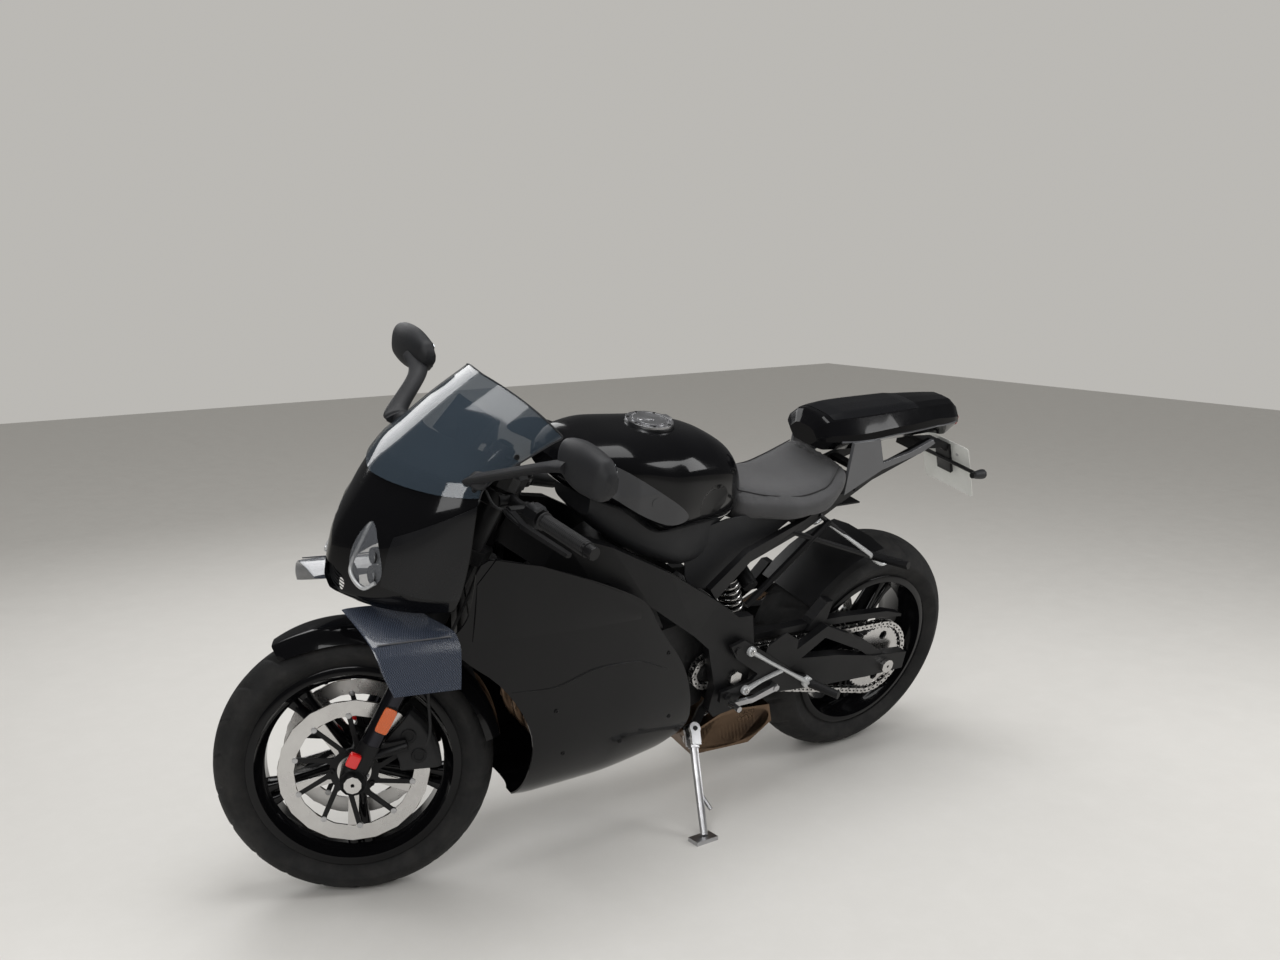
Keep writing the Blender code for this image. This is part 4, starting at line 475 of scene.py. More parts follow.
def mirror_form(form):
    """A form's mirror image across the middle plane, its faces turned back outward."""
    points, faces = form
    return points * np.array([1, -1, 1]), [tuple(reversed(tuple(f))) for f in faces]


def sided(form, side):
    """A left-hand form on its own side, or its mirror image on the right."""
    return form if side > 0 else mirror_form(form)


def curved(table, at):
    """A table's value on a cubic through its stations with limited slopes, so that it never overshoots."""
    table = sorted(table)
    x = np.array([row[0] for row in table], float)
    y = np.array([row[1] for row in table], float)
    d = np.diff(y) / np.diff(x)
    m = np.zeros_like(x)
    m[0], m[-1] = d[0], d[-1]
    same = d[:-1] * d[1:] > 0
    w = 2 * d[:-1] * d[1:] / np.where(same, d[:-1] + d[1:], 1)
    m[1:-1] = np.where(same, w, 0)
    at = np.clip(np.asarray(at, float), x[0], x[-1])
    i = np.clip(np.searchsorted(x, at, side="right") - 1, 0, len(x) - 2)
    h = x[i + 1] - x[i]
    t = (at - x[i]) / h
    return ((2 * t**3 - 3 * t**2 + 1) * y[i] + (t**3 - 2 * t**2 + t) * h * m[i]
            + (3 * t**2 - 2 * t**3) * y[i + 1] + (t**3 - t**2) * h * m[i + 1])


# The solids that keep their shape are rounded at their edges and get their finish


def refined(node, look, bevel=0.0012, angle=34.0):
    """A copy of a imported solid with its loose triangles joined, flat faces cleared and edges rounded."""
    source = frame["nodes"][node]
    mesh = source.data.copy()
    mesh.name = node + "_finished"
    shape = bmesh.new()
    shape.from_mesh(mesh)
    bmesh.ops.remove_doubles(shape, verts=shape.verts, dist=1e-5)
    bmesh.ops.dissolve_limit(
        shape, angle_limit=math.radians(1.0), verts=shape.verts, edges=shape.edges,
        use_dissolve_boundaries=False)
    shape.to_mesh(mesh)
    shape.free()
    mesh.shade_smooth()
    mesh.set_sharp_from_angle(angle=math.radians(angle))
    mesh.materials.clear()
    mesh.materials.append(look)
    obj = bpy.data.objects.new(node + "_finished", mesh)
    bpy.context.scene.collection.objects.link(obj)
    if bevel:
        round_off = obj.modifiers.new("Round", "BEVEL")
        round_off.width = bevel
        round_off.segments = 2
        round_off.limit_method = "ANGLE"
        round_off.angle_limit = math.radians(angle)
        round_off.use_clamp_overlap = True
        round_off.harden_normals = False
    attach(obj, body_of(source)[0])
    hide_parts(node)
    return obj


REFINED = (
    (SATIN, 0.0020, ("main_frame", "swingarm", "instrument", "rear_hugger", "plate_hanger", "subframe",
                     "footrest_left", "footrest_right")),
    (SATIN, 0.0010, ("fork_left", "fork_right", "clip_on_left", "clip_on_right")),
    (CAST, 0.0025, ("engine", "front_caliper_left", "front_caliper_right", "rear_caliper")),
    (CAST, 0.0012, ("radiator", "rear_shock", "steering_clamps")),
    (ALLOY, 0.0012, ("gear_lever", "brake_pedal", "side_stand", "filler_cap")),
    (STEEL, 0.0006, ("front_axle", "rear_axle", "pivot_shaft", "rear_sprocket", "rear_disc",
                     "front_disc_left", "front_disc_right")),
    (BRONZE, 0.0020, ("exhaust",)),
    (GREY, 0.0012, ("tail_fin_left", "tail_fin_right")),
    (RED, 0.0010, ("tail_lamp",)),
    (PLATE, 0.0003, ("number_plate",)),
)
for look, width, nodes in REFINED:
    for node in nodes:
        refined(node, look, width)


# Tyres


def tyre(name, centre, radius, half, crown, rim_half, body, stands_for, pitch, steps):
    """A crown arc and sidewalls carried round the axle; slanted grooves are pressed in by a smooth pulse."""
    around = np.linspace(0, math.tau, steps, endpoint=False)
    edge = math.radians(77)
    turn = np.linspace(-edge, edge, 41)
    y_out = half * np.sin(turn) / math.sin(edge)
    r_out = radius - crown + crown * np.cos(turn)
    wall = rim_half - 0.0003
    top = BEAD_SEAT_RADIUS + 0.016
    side_y = np.linspace(0, 1, 9)[1:]
    y_side = half + (wall - half) * side_y
    r_side = r_out[-1] + (top - r_out[-1]) * side_y
    bulge = 0.006 * np.sin(side_y * math.pi)
    y_side = y_side + bulge * 0.4
    y = np.concatenate([[-wall], -y_side[::-1], y_out, y_side, [wall]])
    r = np.concatenate([[0.2162], r_side[::-1], r_out, r_side, [0.2162]])
    share = np.clip(np.abs(y) / half, 0, 1)
    theta = around[:, None]
    phase = (theta * pitch / math.tau + 0.55 * share[None] * np.sign(y)[None] + 0.5 * (y[None] < 0)) % 1.0
    across = np.exp(-(((phase - 0.5) / 0.055) ** 2))
    span = np.clip((share - 0.12) * 9, 0, 1) * np.clip((0.84 - share) * 9, 0, 1)
    on_crown = (r > r_out[0] - 1e-6) & (share < 0.999)
    depth = 0.0042 * across * (span * on_crown)[None]
    rib = 0.0006 * (np.abs(share - 0.985) < 0.012)[None]
    rr = r[None] - depth + rib
    points = np.stack([centre[0] + rr * np.sin(theta), centre[1] + y[None] + 0 * theta,
                       centre[2] + rr * np.cos(theta)], axis=-1)
    rows, columns = points.shape[:2]
    faces = grid_faces(rows, columns, close_rows=True, close_columns=True)
    return piece(name, points.reshape(-1, 3), faces, RUBBER, body, stands_for, sharp=55)


tyre("front_tyre_tread", FRONT_AXLE, 0.2998, 0.0598, 0.055, 0.0445, "front_wheel", ("front_tyre",), 22, 704)
tyre("rear_tyre_tread", REAR_AXLE, 0.3223, 0.0948, 0.075, 0.0762, "rear_wheel", ("rear_tyre",), 20, 720)


# Rims


def cast_rim(name, centre, rim_half, hub, spoke_width, body, stands_for):
    """Turned barrel and hub with five forked spokes, each a soft box section that widens to the barrel."""
    edge, top = rim_half + 0.0055, 0.2284
    profile = [
        (-edge, top - 0.0015), (-edge + 0.0012, top), (-rim_half - 0.001, top - 0.002), (-rim_half, 0.2156),
        (rim_half, 0.2156),
        (rim_half + 0.001, top - 0.002), (edge - 0.0012, top), (edge, top - 0.0015), (edge, 0.2105),
        (rim_half * 0.72, 0.2035),
        (rim_half * 0.45, 0.1905), (-rim_half * 0.45, 0.1905), (-rim_half * 0.72, 0.2035), (-edge, 0.2105),
    ]
    turn = np.linspace(0, math.tau, 120, endpoint=False)[:, None]
    y = np.array([p[0] for p in profile])[None]
    r = np.array([p[1] for p in profile])[None]
    ring = np.stack([centre[0] + r * np.sin(turn), centre[1] + y + 0 * turn, centre[2] + r * np.cos(turn)],
                    axis=-1)
    barrel = (ring.reshape(-1, 3), grid_faces(120, len(profile), close_rows=True, close_columns=True))
    low, high = hub
    core = lathe(centre + [0, low, 0], [0, 1, 0], [
        (0.0, 0.020), (0.0, 0.048), (0.006, 0.050), (0.010, 0.046), (0.016, 0.034),
        (high - low - 0.016, 0.034),
        (high - low - 0.010, 0.046), (high - low - 0.006, 0.050), (high - low, 0.048), (high - low, 0.020)],
                 48)
    forms = [barrel, core]
    angles = np.linspace(0, math.tau, 20, endpoint=False)
    for k in range(5):
        base = math.tau * k / 5 + math.radians(5) + math.pi
        for fork in (-1, 1):
            rings = []
            for s in np.linspace(0, 1, 12):
                radius = 0.026 + (0.1955 - 0.026) * s
                spread = fork * (0.004 + 0.0125 * s**1.4)
                wide = 0.0125 - 0.003 * s + 0.006 * max(0, s - 0.85) / 0.15
                deep = spoke_width * (0.62 - 0.20 * s + 0.12 * max(0, s - 0.8) / 0.2)
                c, q = np.cos(angles), np.sin(angles)
                u = wide * np.sign(c) * np.abs(c) ** 0.6
                v = deep * np.sign(q) * np.abs(q) ** 0.6
                t = spread + u
                rings.append(np.stack([
                    centre[0] + radius * math.sin(base) + t * math.cos(base), centre[1] + v,
                    centre[2] + radius * math.cos(base) - t * math.sin(base)], axis=-1))
            forms.append(closed_loft(rings))
    at = centre + 0.2115 * np.array([math.sin(0.35), 0, math.cos(0.35)])
    forms.append(lathe(at + [0, 0.002, 0], [-math.sin(0.35), 0.55, -math.cos(0.35)],
                       [(0, 0.0036), (0.012, 0.0036), (0.013, 0.0044), (0.026, 0.0044), (0.028, 0.003)], 10))
    return piece(name, *together(*forms), PAINT, body, stands_for, sharp=40)


cast_rim("front_rim_casting", FRONT_AXLE, 0.0445, (-0.0627, 0.0627), 0.040, "front_wheel", ("front_rim",))
cast_rim("rear_rim_casting", REAR_AXLE, 0.0762, (-0.0857, 0.1102), 0.052, "rear_wheel", ("rear_rim",))

# Nose and screen skin. Down the nose: share of the way, ridge x and z, edge x, y and z
FRONT_ROWS = (
    (0.00, 1.520, 0.722, 1.345, 0.178, 0.735), (0.08, 1.556, 0.752, 1.340, 0.196, 0.785),
    (0.22, 1.545, 0.846, 1.335, 0.208, 0.880), (0.38, 1.506, 0.928, 1.330, 0.204, 0.955),
    (0.55, 1.452, 1.006, 1.318, 0.190, 1.003), (0.72, 1.392, 1.062, 1.262, 0.186, 1.040),
    (0.86, 1.322, 1.118, 1.205, 0.190, 1.072), (1.00, 1.236, 1.176, 1.150, 0.192, 1.100),
)


def front_skin(side, down):
    """The nose and screen: ridge to edge by powers of the side share, both smooth down the nose."""
    ridge_x, ridge_z, edge_x, edge_y, edge_z = (curved([(row[0], row[k]) for row in FRONT_ROWS], down)
                                                for k in range(1, 6))
    t = np.abs(side)
    y = edge_y * (1 - (1 - t) ** 1.55)
    x = ridge_x + (edge_x - ridge_x) * t**1.45
    z = ridge_z + (edge_z - ridge_z) * t**1.9
    return np.stack([x, np.copysign(y, side), z], axis=-1)


def skin_out(side, down, lift):
    """A point of the skin moved along its outward normal, by the cross product of its two slopes."""
    at = front_skin(side, down)
    one = front_skin(side + 1e-3, down) - at
    two = front_skin(side, down + 1e-3) - at
    out = np.cross(one, two)
    out /= np.linalg.norm(out, axis=-1)[..., None]
    out *= np.where(out[..., :1] > 0, 1, -1)
    return at + out * lift


def skin_grid(sides, downs, lift):
    """The nose's skin at every pair of side and down shares."""
    s, d = np.meshgrid(sides, downs)
    return skin_out(s, d, lift)


def thick(points, wall, outward=None):
    """A closed wall from a grid: its second face lies inward along the cross product of its slopes."""
    points = np.asarray(points, float)
    rows, columns = points.shape[:2]
    across, down = np.gradient(points, axis=1), np.gradient(points, axis=0)
    out = np.cross(across, down)
    out /= np.maximum(np.linalg.norm(out, axis=-1), 1e-12)[..., None]
    if outward is not None and (out.reshape(-1, 3) @ np.asarray(outward, float)).sum() < 0:
        out = -out
    inner = points - out * wall
    n = rows * columns
    outer_faces = grid_faces(rows, columns)
    faces = [tuple(f) for f in outer_faces] + [tuple(reversed([i + n for i in f]))
                                               for f in outer_faces.tolist()]
    index = np.arange(n).reshape(rows, columns)
    loop = np.concatenate([index[0], index[1:, -1], index[-1, -2::-1], index[-2:0:-1, 0]])
    after = np.roll(loop, -1)
    faces += [(a, a + n, b + n, b) for a, b in zip(loop.tolist(), after.tolist())]
    return np.vstack([points.reshape(-1, 3), inner.reshape(-1, 3)]), faces


def prism(outline, direction, near, far):
    """A closed outline of two coordinates pushed along x or y, between two planes."""
    outline = np.asarray(outline, float)
    n = len(outline)
    build = lambda v: np.stack(
        [outline[:, 0], np.full(n, v), outline[:, 1]] if direction == "y"
        else [np.full(n, v), outline[:, 0], outline[:, 1]], axis=-1)
    step = list(range(n))
    faces = [tuple(step), tuple(n + i for i in reversed(step))]
    faces += [(i, n + i, n + (i + 1) % n, (i + 1) % n) for i in step]
    return np.vstack([build(near), build(far)]), faces


def softened(outline, times=2):
    """Corners of an outline cut back to a quarter and three quarters of each edge, as often as asked."""
    p = np.asarray(outline, float)
    for _ in range(times):
        q = np.roll(p, -1, axis=0)
        p = np.stack([p * 0.75 + q * 0.25, p * 0.25 + q * 0.75], axis=1).reshape(-1, 2)
    return p


def raw_object(form):
    """A plain object from points and faces, for a modifier to work on."""
    points, faces = form
    mesh = bpy.data.meshes.new("raw")
    mesh.from_pydata(np.asarray(points, float).tolist(), [], [list(map(int, f)) for f in faces])
    shape = bmesh.new()
    shape.from_mesh(mesh)
    bmesh.ops.remove_doubles(shape, verts=shape.verts, dist=2e-6)
    bmesh.ops.recalc_face_normals(shape, faces=shape.faces)
    shape.to_mesh(mesh)
    shape.free()
    obj = bpy.data.objects.new("raw", mesh)
    bpy.context.scene.collection.objects.link(obj)
    return obj


def form_of(mesh):
    """A mesh's points and faces as arrays."""
    points = np.empty(len(mesh.vertices) * 3, np.float32)
    mesh.vertices.foreach_get("co", points)
    return points.reshape(-1, 3).astype(float), [tuple(p.vertices) for p in mesh.polygons]


def trimmed(form, cutter, operation="DIFFERENCE"):
    """One closed form cut by, kept inside or joined with another."""
    base, tool = raw_object(form), raw_object(cutter)
    change = base.modifiers.new("Trim", "BOOLEAN")
    change.operation = operation
    change.solver = "EXACT"
    change.object = tool
    result = bpy.data.meshes.new_from_object(base.evaluated_get(bpy.context.evaluated_depsgraph_get()))
    out = form_of(result)
    for obj in (base, tool):
        mesh = obj.data
        bpy.data.objects.remove(obj)
        bpy.data.meshes.remove(mesh)
    bpy.data.meshes.remove(result)
    return out


def cut_sheet(outline, holes, thickness, bevel=0.0004):
    """A flat plate from an outline with round or free holes, its edges broken, in its own x and y."""
    curve = bpy.data.curves.new("cut", "CURVE")
    curve.dimensions = "2D"
    curve.fill_mode = "BOTH"
    curve.extrude = thickness / 2 - bevel
    curve.bevel_depth = bevel
    curve.bevel_resolution = 0
    curve.offset = -bevel
    for loop in [outline, *holes]:
        spline = curve.splines.new("POLY")
        spline.points.add(len(loop) - 1)
        flat = np.zeros((len(loop), 4))
        flat[:, :2] = np.asarray(loop)[:, :2]
        flat[:, 3] = 1
        spline.points.foreach_set("co", flat.ravel())
        spline.use_cyclic_u = True
    obj = bpy.data.objects.new("cut", curve)
    bpy.context.scene.collection.objects.link(obj)
    mesh = bpy.data.meshes.new_from_object(obj.evaluated_get(bpy.context.evaluated_depsgraph_get()))
    out = form_of(mesh)
    bpy.data.objects.remove(obj)
    bpy.data.curves.remove(curve)
    bpy.data.meshes.remove(mesh)
    return out


def circle(radius, steps, at=(0.0, 0.0), turn=0.0):
    """Points round a circle, in order."""
    a = turn + np.linspace(0, math.tau, steps, endpoint=False)
    return np.stack([at[0] + radius * np.cos(a), at[1] + radius * np.sin(a)], axis=-1)


def stood(form, centre, right=(1, 0, 0), up=(0, 0, 1)):
    """A flat form's x and y laid along two directions at a place."""
    points, faces = form
    right, up = np.asarray(right, float), np.asarray(up, float)
    out = np.cross(right, up)
    return np.asarray(centre) + points[:, :1] * right + points[:, 1:2] * up + points[:, 2:3] * out, faces


def screws(places, radius=0.0042, tall=0.0035, steps=14):
    """Round heads with a round recess, one at each place and direction."""
    forms = []
    for at, run in places:
        forms.append(lathe(np.asarray(at, float) - unit(run) * 0.0006, run, [
            (0.0, radius), (tall * 0.8, radius), (tall, radius * 0.84), (tall, radius * 0.52),
            (tall * 0.45, radius * 0.46)], steps))
    return together(*forms)


# Nose, lamps and screen
NOSE_LIFT = -0.0058
LAMP_OUTLINE = softened([(0.048, 0.800), (0.092, 0.772), (0.118, 0.800), (0.112, 0.850), (0.082, 0.905),
                         (0.058, 0.915)], 3)
nose = thick(skin_grid(np.linspace(-0.985, 0.985, 81), np.linspace(0.003, 0.595, 61), NOSE_LIFT), 0.0036,
             (1, 0, 0))
nose_whole = nose
for side in (1, -1):
    nose = trimmed(nose, prism(LAMP_OUTLINE * [side, 1], "x", 1.30, 1.65))
intake = softened([(-0.040, 0.742), (-0.055, 0.775), (-0.030, 0.800), (0.030, 0.800), (0.055, 0.775),
                   (0.040, 0.742)], 2)
nose = trimmed(nose, prism(intake, "x", 1.45, 1.65))
piece("nose_skin", *nose, PAINT, "chassis", ("nose_cowl",))
lamp_middle = LAMP_OUTLINE.mean(0)
fit = lamp_middle + (LAMP_OUTLINE - lamp_middle) * 0.985
for side, tag in SIDES:
    lens = trimmed(nose_whole, prism(fit * [side, 1], "x", 1.30, 1.65), "INTERSECT")
    piece("lamp_lens_" + tag, lens[0] + [-0.0004, 0, 0], lens[1], LENS, "chassis",
          ("headlight",) if side > 0 else ())
    back = prism(LAMP_OUTLINE * [side, 1], "x", 1.440, 1.452)
    forms = [back]
    for y, z, r in ((0.088, 0.800, 0.019), (0.088, 0.842, 0.017)):
        forms.append(lathe((1.452, side * y, z), (1, 0, 0.06), [
            (0.0, r), (0.040, r), (0.042, r - 0.001), (0.041, r - 0.004), (0.030, r - 0.006), (0.024, 0.004),
            (0.023, 0.001)], 28))
    piece("lamp_body_" + tag, *together(*forms), SATIN, "chassis")
    piece("lamp_bowl_" + tag, *together(*[
        lathe((1.470, side * y, z), (1, 0, 0.06),
              [(0.0, 0.006), (0.006, 0.009), (0.012, 0.0115), (0.016, 0.012), (0.018, 0.010),
                                               (0.019, 0.004)], 24) for y,
        z in ((0.088, 0.800), (0.088, 0.842))]), GLASS, "chassis")
    hook = pipe([(1.488, side * 0.060, 0.906), (1.505, side * 0.056, 0.860), (1.522, side * 0.054, 0.812),
                 (1.522, side * 0.070, 0.790),
                 (1.512, side * 0.096, 0.780), (1.495, side * 0.112, 0.796)], 0.0042, 44, 10)
    piece("day_light_" + tag, *hook, SILVER, "chassis")
piece("intake_mesh", *together(*[pipe([(1.520, -0.055, z), (1.528, 0, z), (1.520, 0.055, z)], 0.0011, 12, 6)
                                for z in np.linspace(0.744, 0.800, 9)],
                              prism(intake, "x", 1.500, 1.505)), PLASTIC, "chassis")

side_turn, down_turn = np.meshgrid(np.linspace(-0.982, 0.982, 73), np.linspace(0.502, 0.997, 49))
pane = skin_out(side_turn, down_turn, 0.0)
piece("screen_pane", *thick(pane, 0.0034, (1, 0, 1)), SMOKE, "chassis", ("screen",), sharp=30)
edge_line = np.vstack([pane[:, 0], pane[-1, 1:], pane[-2::-1, -1]])
piece("screen_edge", *pipe(edge_line[::4] - [0, 0, 0.0012], 0.0021, 150, 8), PLASTIC, "chassis")
inner_side, inner_down = np.meshgrid(np.linspace(-0.94, 0.94, 41), np.linspace(0.52, 0.78, 17))
piece("screen_apron", *thick(skin_out(inner_side, inner_down, -0.016), 0.002, (1, 0, 1)), PLASTIC, "chassis")
piece("screen_screws", *screws([(skin_out(np.array(s), np.array(d), 0.0),
                                 skin_out(np.array(s), np.array(d), 1.0)
                               - skin_out(np.array(s), np.array(d), 0.0)) for s in (-0.9, 0.9)
                                for d in (0.56, 0.68, 0.80)],
                              0.0055, 0.0025), SATIN, "chassis")

for side, tag in SIDES:
    u, v = np.meshgrid(np.linspace(0, 1, 41), np.linspace(0, 1, 25))
    low, high = 0.055 + 0.075 * (1 - u), 0.300 + 0.150 * u
    patch = skin_out(side * (0.44 + 0.535 * u), low + (high - low) * v, NOSE_LIFT + 0.0026)
    piece("nose_side_panel_" + tag, *thick(patch, 0.0030, (0, side, 0)), PANEL, "chassis", sharp=30)

# Side fairings
SIDE_ROWS = ((0.560, 0.165, 0.205, 0.62), (0.740, 0.196, 0.178, 0.66), (0.920, 0.212, 0.160, 0.76),
             (1.080, 0.216, 0.160, 0.84),
             (1.220, 0.212, 0.190, 0.88), (1.420, 0.172, 0.250, 0.90))
SIDE_OUTLINE = [
    (0.765, 0.140), (0.740, 0.240), (0.668, 0.290), (0.700, 0.400), (0.745, 0.505), (0.835, 0.610),
    (0.880, 0.690),
    (0.960, 0.735), (1.080, 0.790), (1.200, 0.835), (1.312, 0.862), (1.318, 0.760), (1.326, 0.715),
    (1.360, 0.675), (1.330, 0.630), (1.235, 0.560), (1.150, 0.430), (1.135, 0.310), (1.130, 0.140),
]


def side_skin(along, down, lift=0.0):
    """The left fairing: a sine-eased upper half over a keel whose section is a power of sine and cosine."""
    x = 0.560 + 0.860 * along
    half, keel, top = (curved([(row[0], row[k]) for row in SIDE_ROWS], x) for k in (1, 2, 3))
    half = half + lift
    t = np.clip(down / 0.45, 0, 1)
    q = np.clip((down - 0.45) / 0.55, 0, 1) * math.pi / 2
    upper_y, upper_z = half * (0.94 + 0.06 * np.sin(t * math.pi / 2)), top + (0.46 - top) * t
    lower_y = 0.0008 + (half - 0.0008) * np.cos(q) ** 0.8
    lower_z = 0.46 - (0.46 - keel) * np.sin(q) ** 0.9
    low = down > 0.45
    return np.stack([x, np.where(low, lower_y, upper_y), np.where(low, lower_z, upper_z)], axis=-1)


def fairing_y(x, z, lift=0.0):
    """How far out the fairing lies at a side-view place, by searching down its section."""
    down = np.linspace(0, 1, 240)
    at = side_skin(np.full(240, (x - 0.560) / 0.860), down, lift)
    return float(np.interp(-z, -at[:, 2], at[:, 1]))


u, v = np.meshgrid(np.linspace(0, 1, 73), np.linspace(0, 0.9999, 81))
fairing_wall = thick(side_skin(u, v), 0.0036, (0, 1, 0))
fairing = trimmed(fairing_wall, prism(softened(SIDE_OUTLINE, 2), "y", -0.02, 0.30), "INTERSECT")
boss = lathe((0.965, 0.1530, 0.722), (0, 1, 0), [(0, 0.007), (0.050, 0.007)], 16)
fairing = together(fairing, boss)
for side, tag in SIDES:
    piece("fairing_skin_" + tag, *sided(fairing, side), PAINT, "chassis", ("fairing_" + tag,))
    # The upper panel laps over the lower one, and a slim raised seam runs below it.
    u2, v2 = np.meshgrid(np.linspace(0, 1, 61), np.linspace(0, 1, 15))
    low_z = np.interp(0.900 + 0.450 * u2, [0.90, 1.00, 1.20, 1.35], [0.655, 0.660, 0.668, 0.672])
    top_z = np.interp(0.900 + 0.450 * u2, [0.90, 0.96, 1.08, 1.20, 1.312, 1.35],
                      [0.690, 0.727, 0.782, 0.827, 0.852, 0.800])
    x = 0.900 + 0.412 * u2
    z = low_z + (top_z - low_z) * v2
    y = np.vectorize(lambda a, b: fairing_y(a, b, 0.0))(x, z) + 0.0022 + 0.0030 * np.sin(v2 * math.pi)
    upper = thick(np.stack([x, y, z], axis=-1), 0.0040, (0, 1, 0))
    piece("upper_panel_" + tag, *sided(upper, side), PAINT, "chassis")
    seam_x = np.linspace(0.800, 1.215, 24)
    seam_z = curved([(0.800, 0.505), (0.900, 0.548), (1.000, 0.556), (1.120, 0.532), (1.215, 0.540)], seam_x)
    seam = pipe(np.stack([seam_x, [fairing_y(a, b) for a, b in zip(seam_x, seam_z)], seam_z], axis=-1),
                [0.0008, 0.0024, 0.0024, 0.0008], 90, 10)
    piece("fairing_seam_" + tag, *sided(seam, side), SATIN, "chassis")
    spots = [(1.285, 0.690), (1.190, 0.780), (1.020, 0.745), (0.905, 0.660), (0.800, 0.545), (0.760, 0.360),
             (0.900, 0.330),
             (1.060, 0.345), (1.100, 0.470)]
    heads = screws([((px, fairing_y(px, pz) + 0.0004, pz), (0, 1, 0.05)) for px, pz in spots], 0.0050, 0.0026)
    piece("fairing_screws_" + tag, *sided(heads, side), SATIN, "chassis")

# Winglets: leading and trailing x, y, leading and trailing z, thickness
WINGLET_ROWS = np.array([
    (1.545, 1.405, 0.0750, 0.7270, 0.7170, 0.0096), (1.540, 1.380, 0.130, 0.7205, 0.710, 0.0096),
    (1.535, 1.350, 0.1900, 0.7085, 0.698, 0.0096),
    (1.531, 1.349, 0.212, 0.694, 0.683, 0.0086), (1.522, 1.356, 0.238, 0.659, 0.647, 0.0072),
    (1.509, 1.365, 0.2610, 0.626, 0.612, 0.0054)])
station = np.linspace(0, 5, 46)
rows = np.stack([curved(list(zip(range(6), WINGLET_ROWS[:, k])), station) for k in range(6)], axis=-1)
turn = np.linspace(0, math.tau, 36, endpoint=False)
share = 0.5 - 0.5 * np.cos(turn)
foil = np.sign(np.sin(turn)) * 0.5 * (2.6 * share**0.5 * (1 - share)) ** 0.9
lean = np.clip((station - 1.6) / 1.4, 0, 1)[:, None]
x = rows[:, 0:1] + (rows[:, 1:2] - rows[:, 0:1]) * share
y = rows[:, 2:3] + foil * rows[:, 5:6] * (0.25 + 0.60 * lean)
z = rows[:, 3:4] + (rows[:, 4:5] - rows[:, 3:4]) * share + foil * rows[:, 5:6] * (0.95 - 0.45 * lean)
wing = closed_loft(np.stack([x, y, z], axis=-1))
# A thin mid-grey strip along the crease between the winglet's two facets: a painted highlight where light catches
# the fold.
painted_fold_highlight = pipe(np.stack([np.linspace(1.522, 1.365, 8), np.full(8, 0.2005),
                      np.linspace(0.7105, 0.700, 8) - 0.0008], axis=-1), 0.0016, 24, 8)
for side, tag in SIDES:
    piece("winglet_skin_" + tag, *sided(wing, side), CARBON, "chassis", ("winglet_" + tag,), sharp=60)
    piece("winglet_fold_" + tag, *sided(painted_fold_highlight, side), GREY, "chassis")

# Tank, seat and tail: x, half width, low, high, power of the section
TANK_ROWS = ((0.556, 0.060, 0.800, 0.880, 2.4), (0.572, 0.088, 0.795, 0.935, 2.5),
             (0.610, 0.116, 0.790, 0.985, 2.5),
             (0.690, 0.144, 0.790, 1.018, 2.6), (0.800, 0.162, 0.790, 1.034, 2.7),
             (0.910, 0.158, 0.860, 1.036, 2.8),
             (0.990, 0.132, 0.895, 1.030, 2.8), (1.048, 0.092, 0.930, 1.008, 2.6),
             (1.066, 0.062, 0.945, 0.985, 2.4))
SEAT_ROWS = ((0.575, 0.050, 0.792, 0.835, 2.4), (0.548, 0.082, 0.780, 0.862, 2.6),
             (0.480, 0.118, 0.785, 0.858, 3.0),
             (0.400, 0.146, 0.790, 0.855, 3.4), (0.320, 0.152, 0.803, 0.872, 3.4),
             (0.272, 0.138, 0.832, 0.905, 3.0),
             (0.248, 0.120, 0.848, 0.925, 2.8))
TAIL_ROWS = ((0.315, 0.050, 0.945, 0.990, 2.4), (0.290, 0.088, 0.938, 1.022, 2.8),
             (0.200, 0.104, 0.938, 1.030, 3.0),
             (0.060, 0.100, 0.950, 1.034, 3.0), (-0.080, 0.082, 0.950, 1.038, 2.8),
             (-0.165, 0.066, 0.936, 1.036, 2.6),
             (-0.198, 0.052, 0.945, 1.018, 2.4))


def section(rows, x, around=72):
    """Superellipse rings at places along x, each size on a smooth curve through its table."""
    half, low, high, power = (curved([(r[0], r[k]) for r in rows], x)[:, None] for k in (1, 2, 3, 4))
    t = np.linspace(0, math.tau, around, endpoint=False)[None]
    c, s = np.cos(t), np.sin(t)
    y = half * np.sign(c) * np.abs(c) ** (2 / power)
    z = (low + high) / 2 + (high - low) / 2 * np.sign(s) * np.abs(s) ** (2 / power)
    return np.stack([np.broadcast_to(np.asarray(x)[:, None], y.shape), y, z], axis=-1)


def eased_span(a, b, count):
    """Places from a to b that lie closer together at both ends."""
    return a + (b - a) * (0.5 - 0.5 * np.cos(np.linspace(0, math.pi, count)))


tank_form = closed_loft(section(TANK_ROWS, eased_span(0.556, 1.066, 70), 96))
well = lathe((0.800, 0, 1.004), (0, 0, 1), [(0, 0.0585), (0.05, 0.0585)], 64)
tank_form = trimmed(tank_form, well)
knee = lathe((0.672, 0.205, 0.872), (-0.12, 1, 0.15),
             [(-0.075, 0.0001), (-0.066, 0.050), (-0.035, 0.090), (0.02, 0.110)], 64)
for side in (1, -1):
    tank_form = trimmed(tank_form, sided(knee, side))
piece("tank_skin", *tank_form, PAINT, "chassis", ("tank",), sharp=24)
cap_ring = lathe((0.800, 0, 1.026), (0, 0, 1),
                 [(0, 0.0575), (0.0085, 0.0575), (0.0105, 0.0560), (0.0105, 0.0535)], 64)
piece("cap_collar", *cap_ring, SATIN, "chassis")
cap_screws = screws([((0.800 + 0.050 * math.cos(a), 0.050 * math.sin(a), 1.0415), (0, 0, 1))
                     for a in np.arange(7) * math.tau / 7 + 0.3],
                    0.0036, 0.0022, 12)
piece("cap_screws", *cap_screws, SATIN, "chassis")
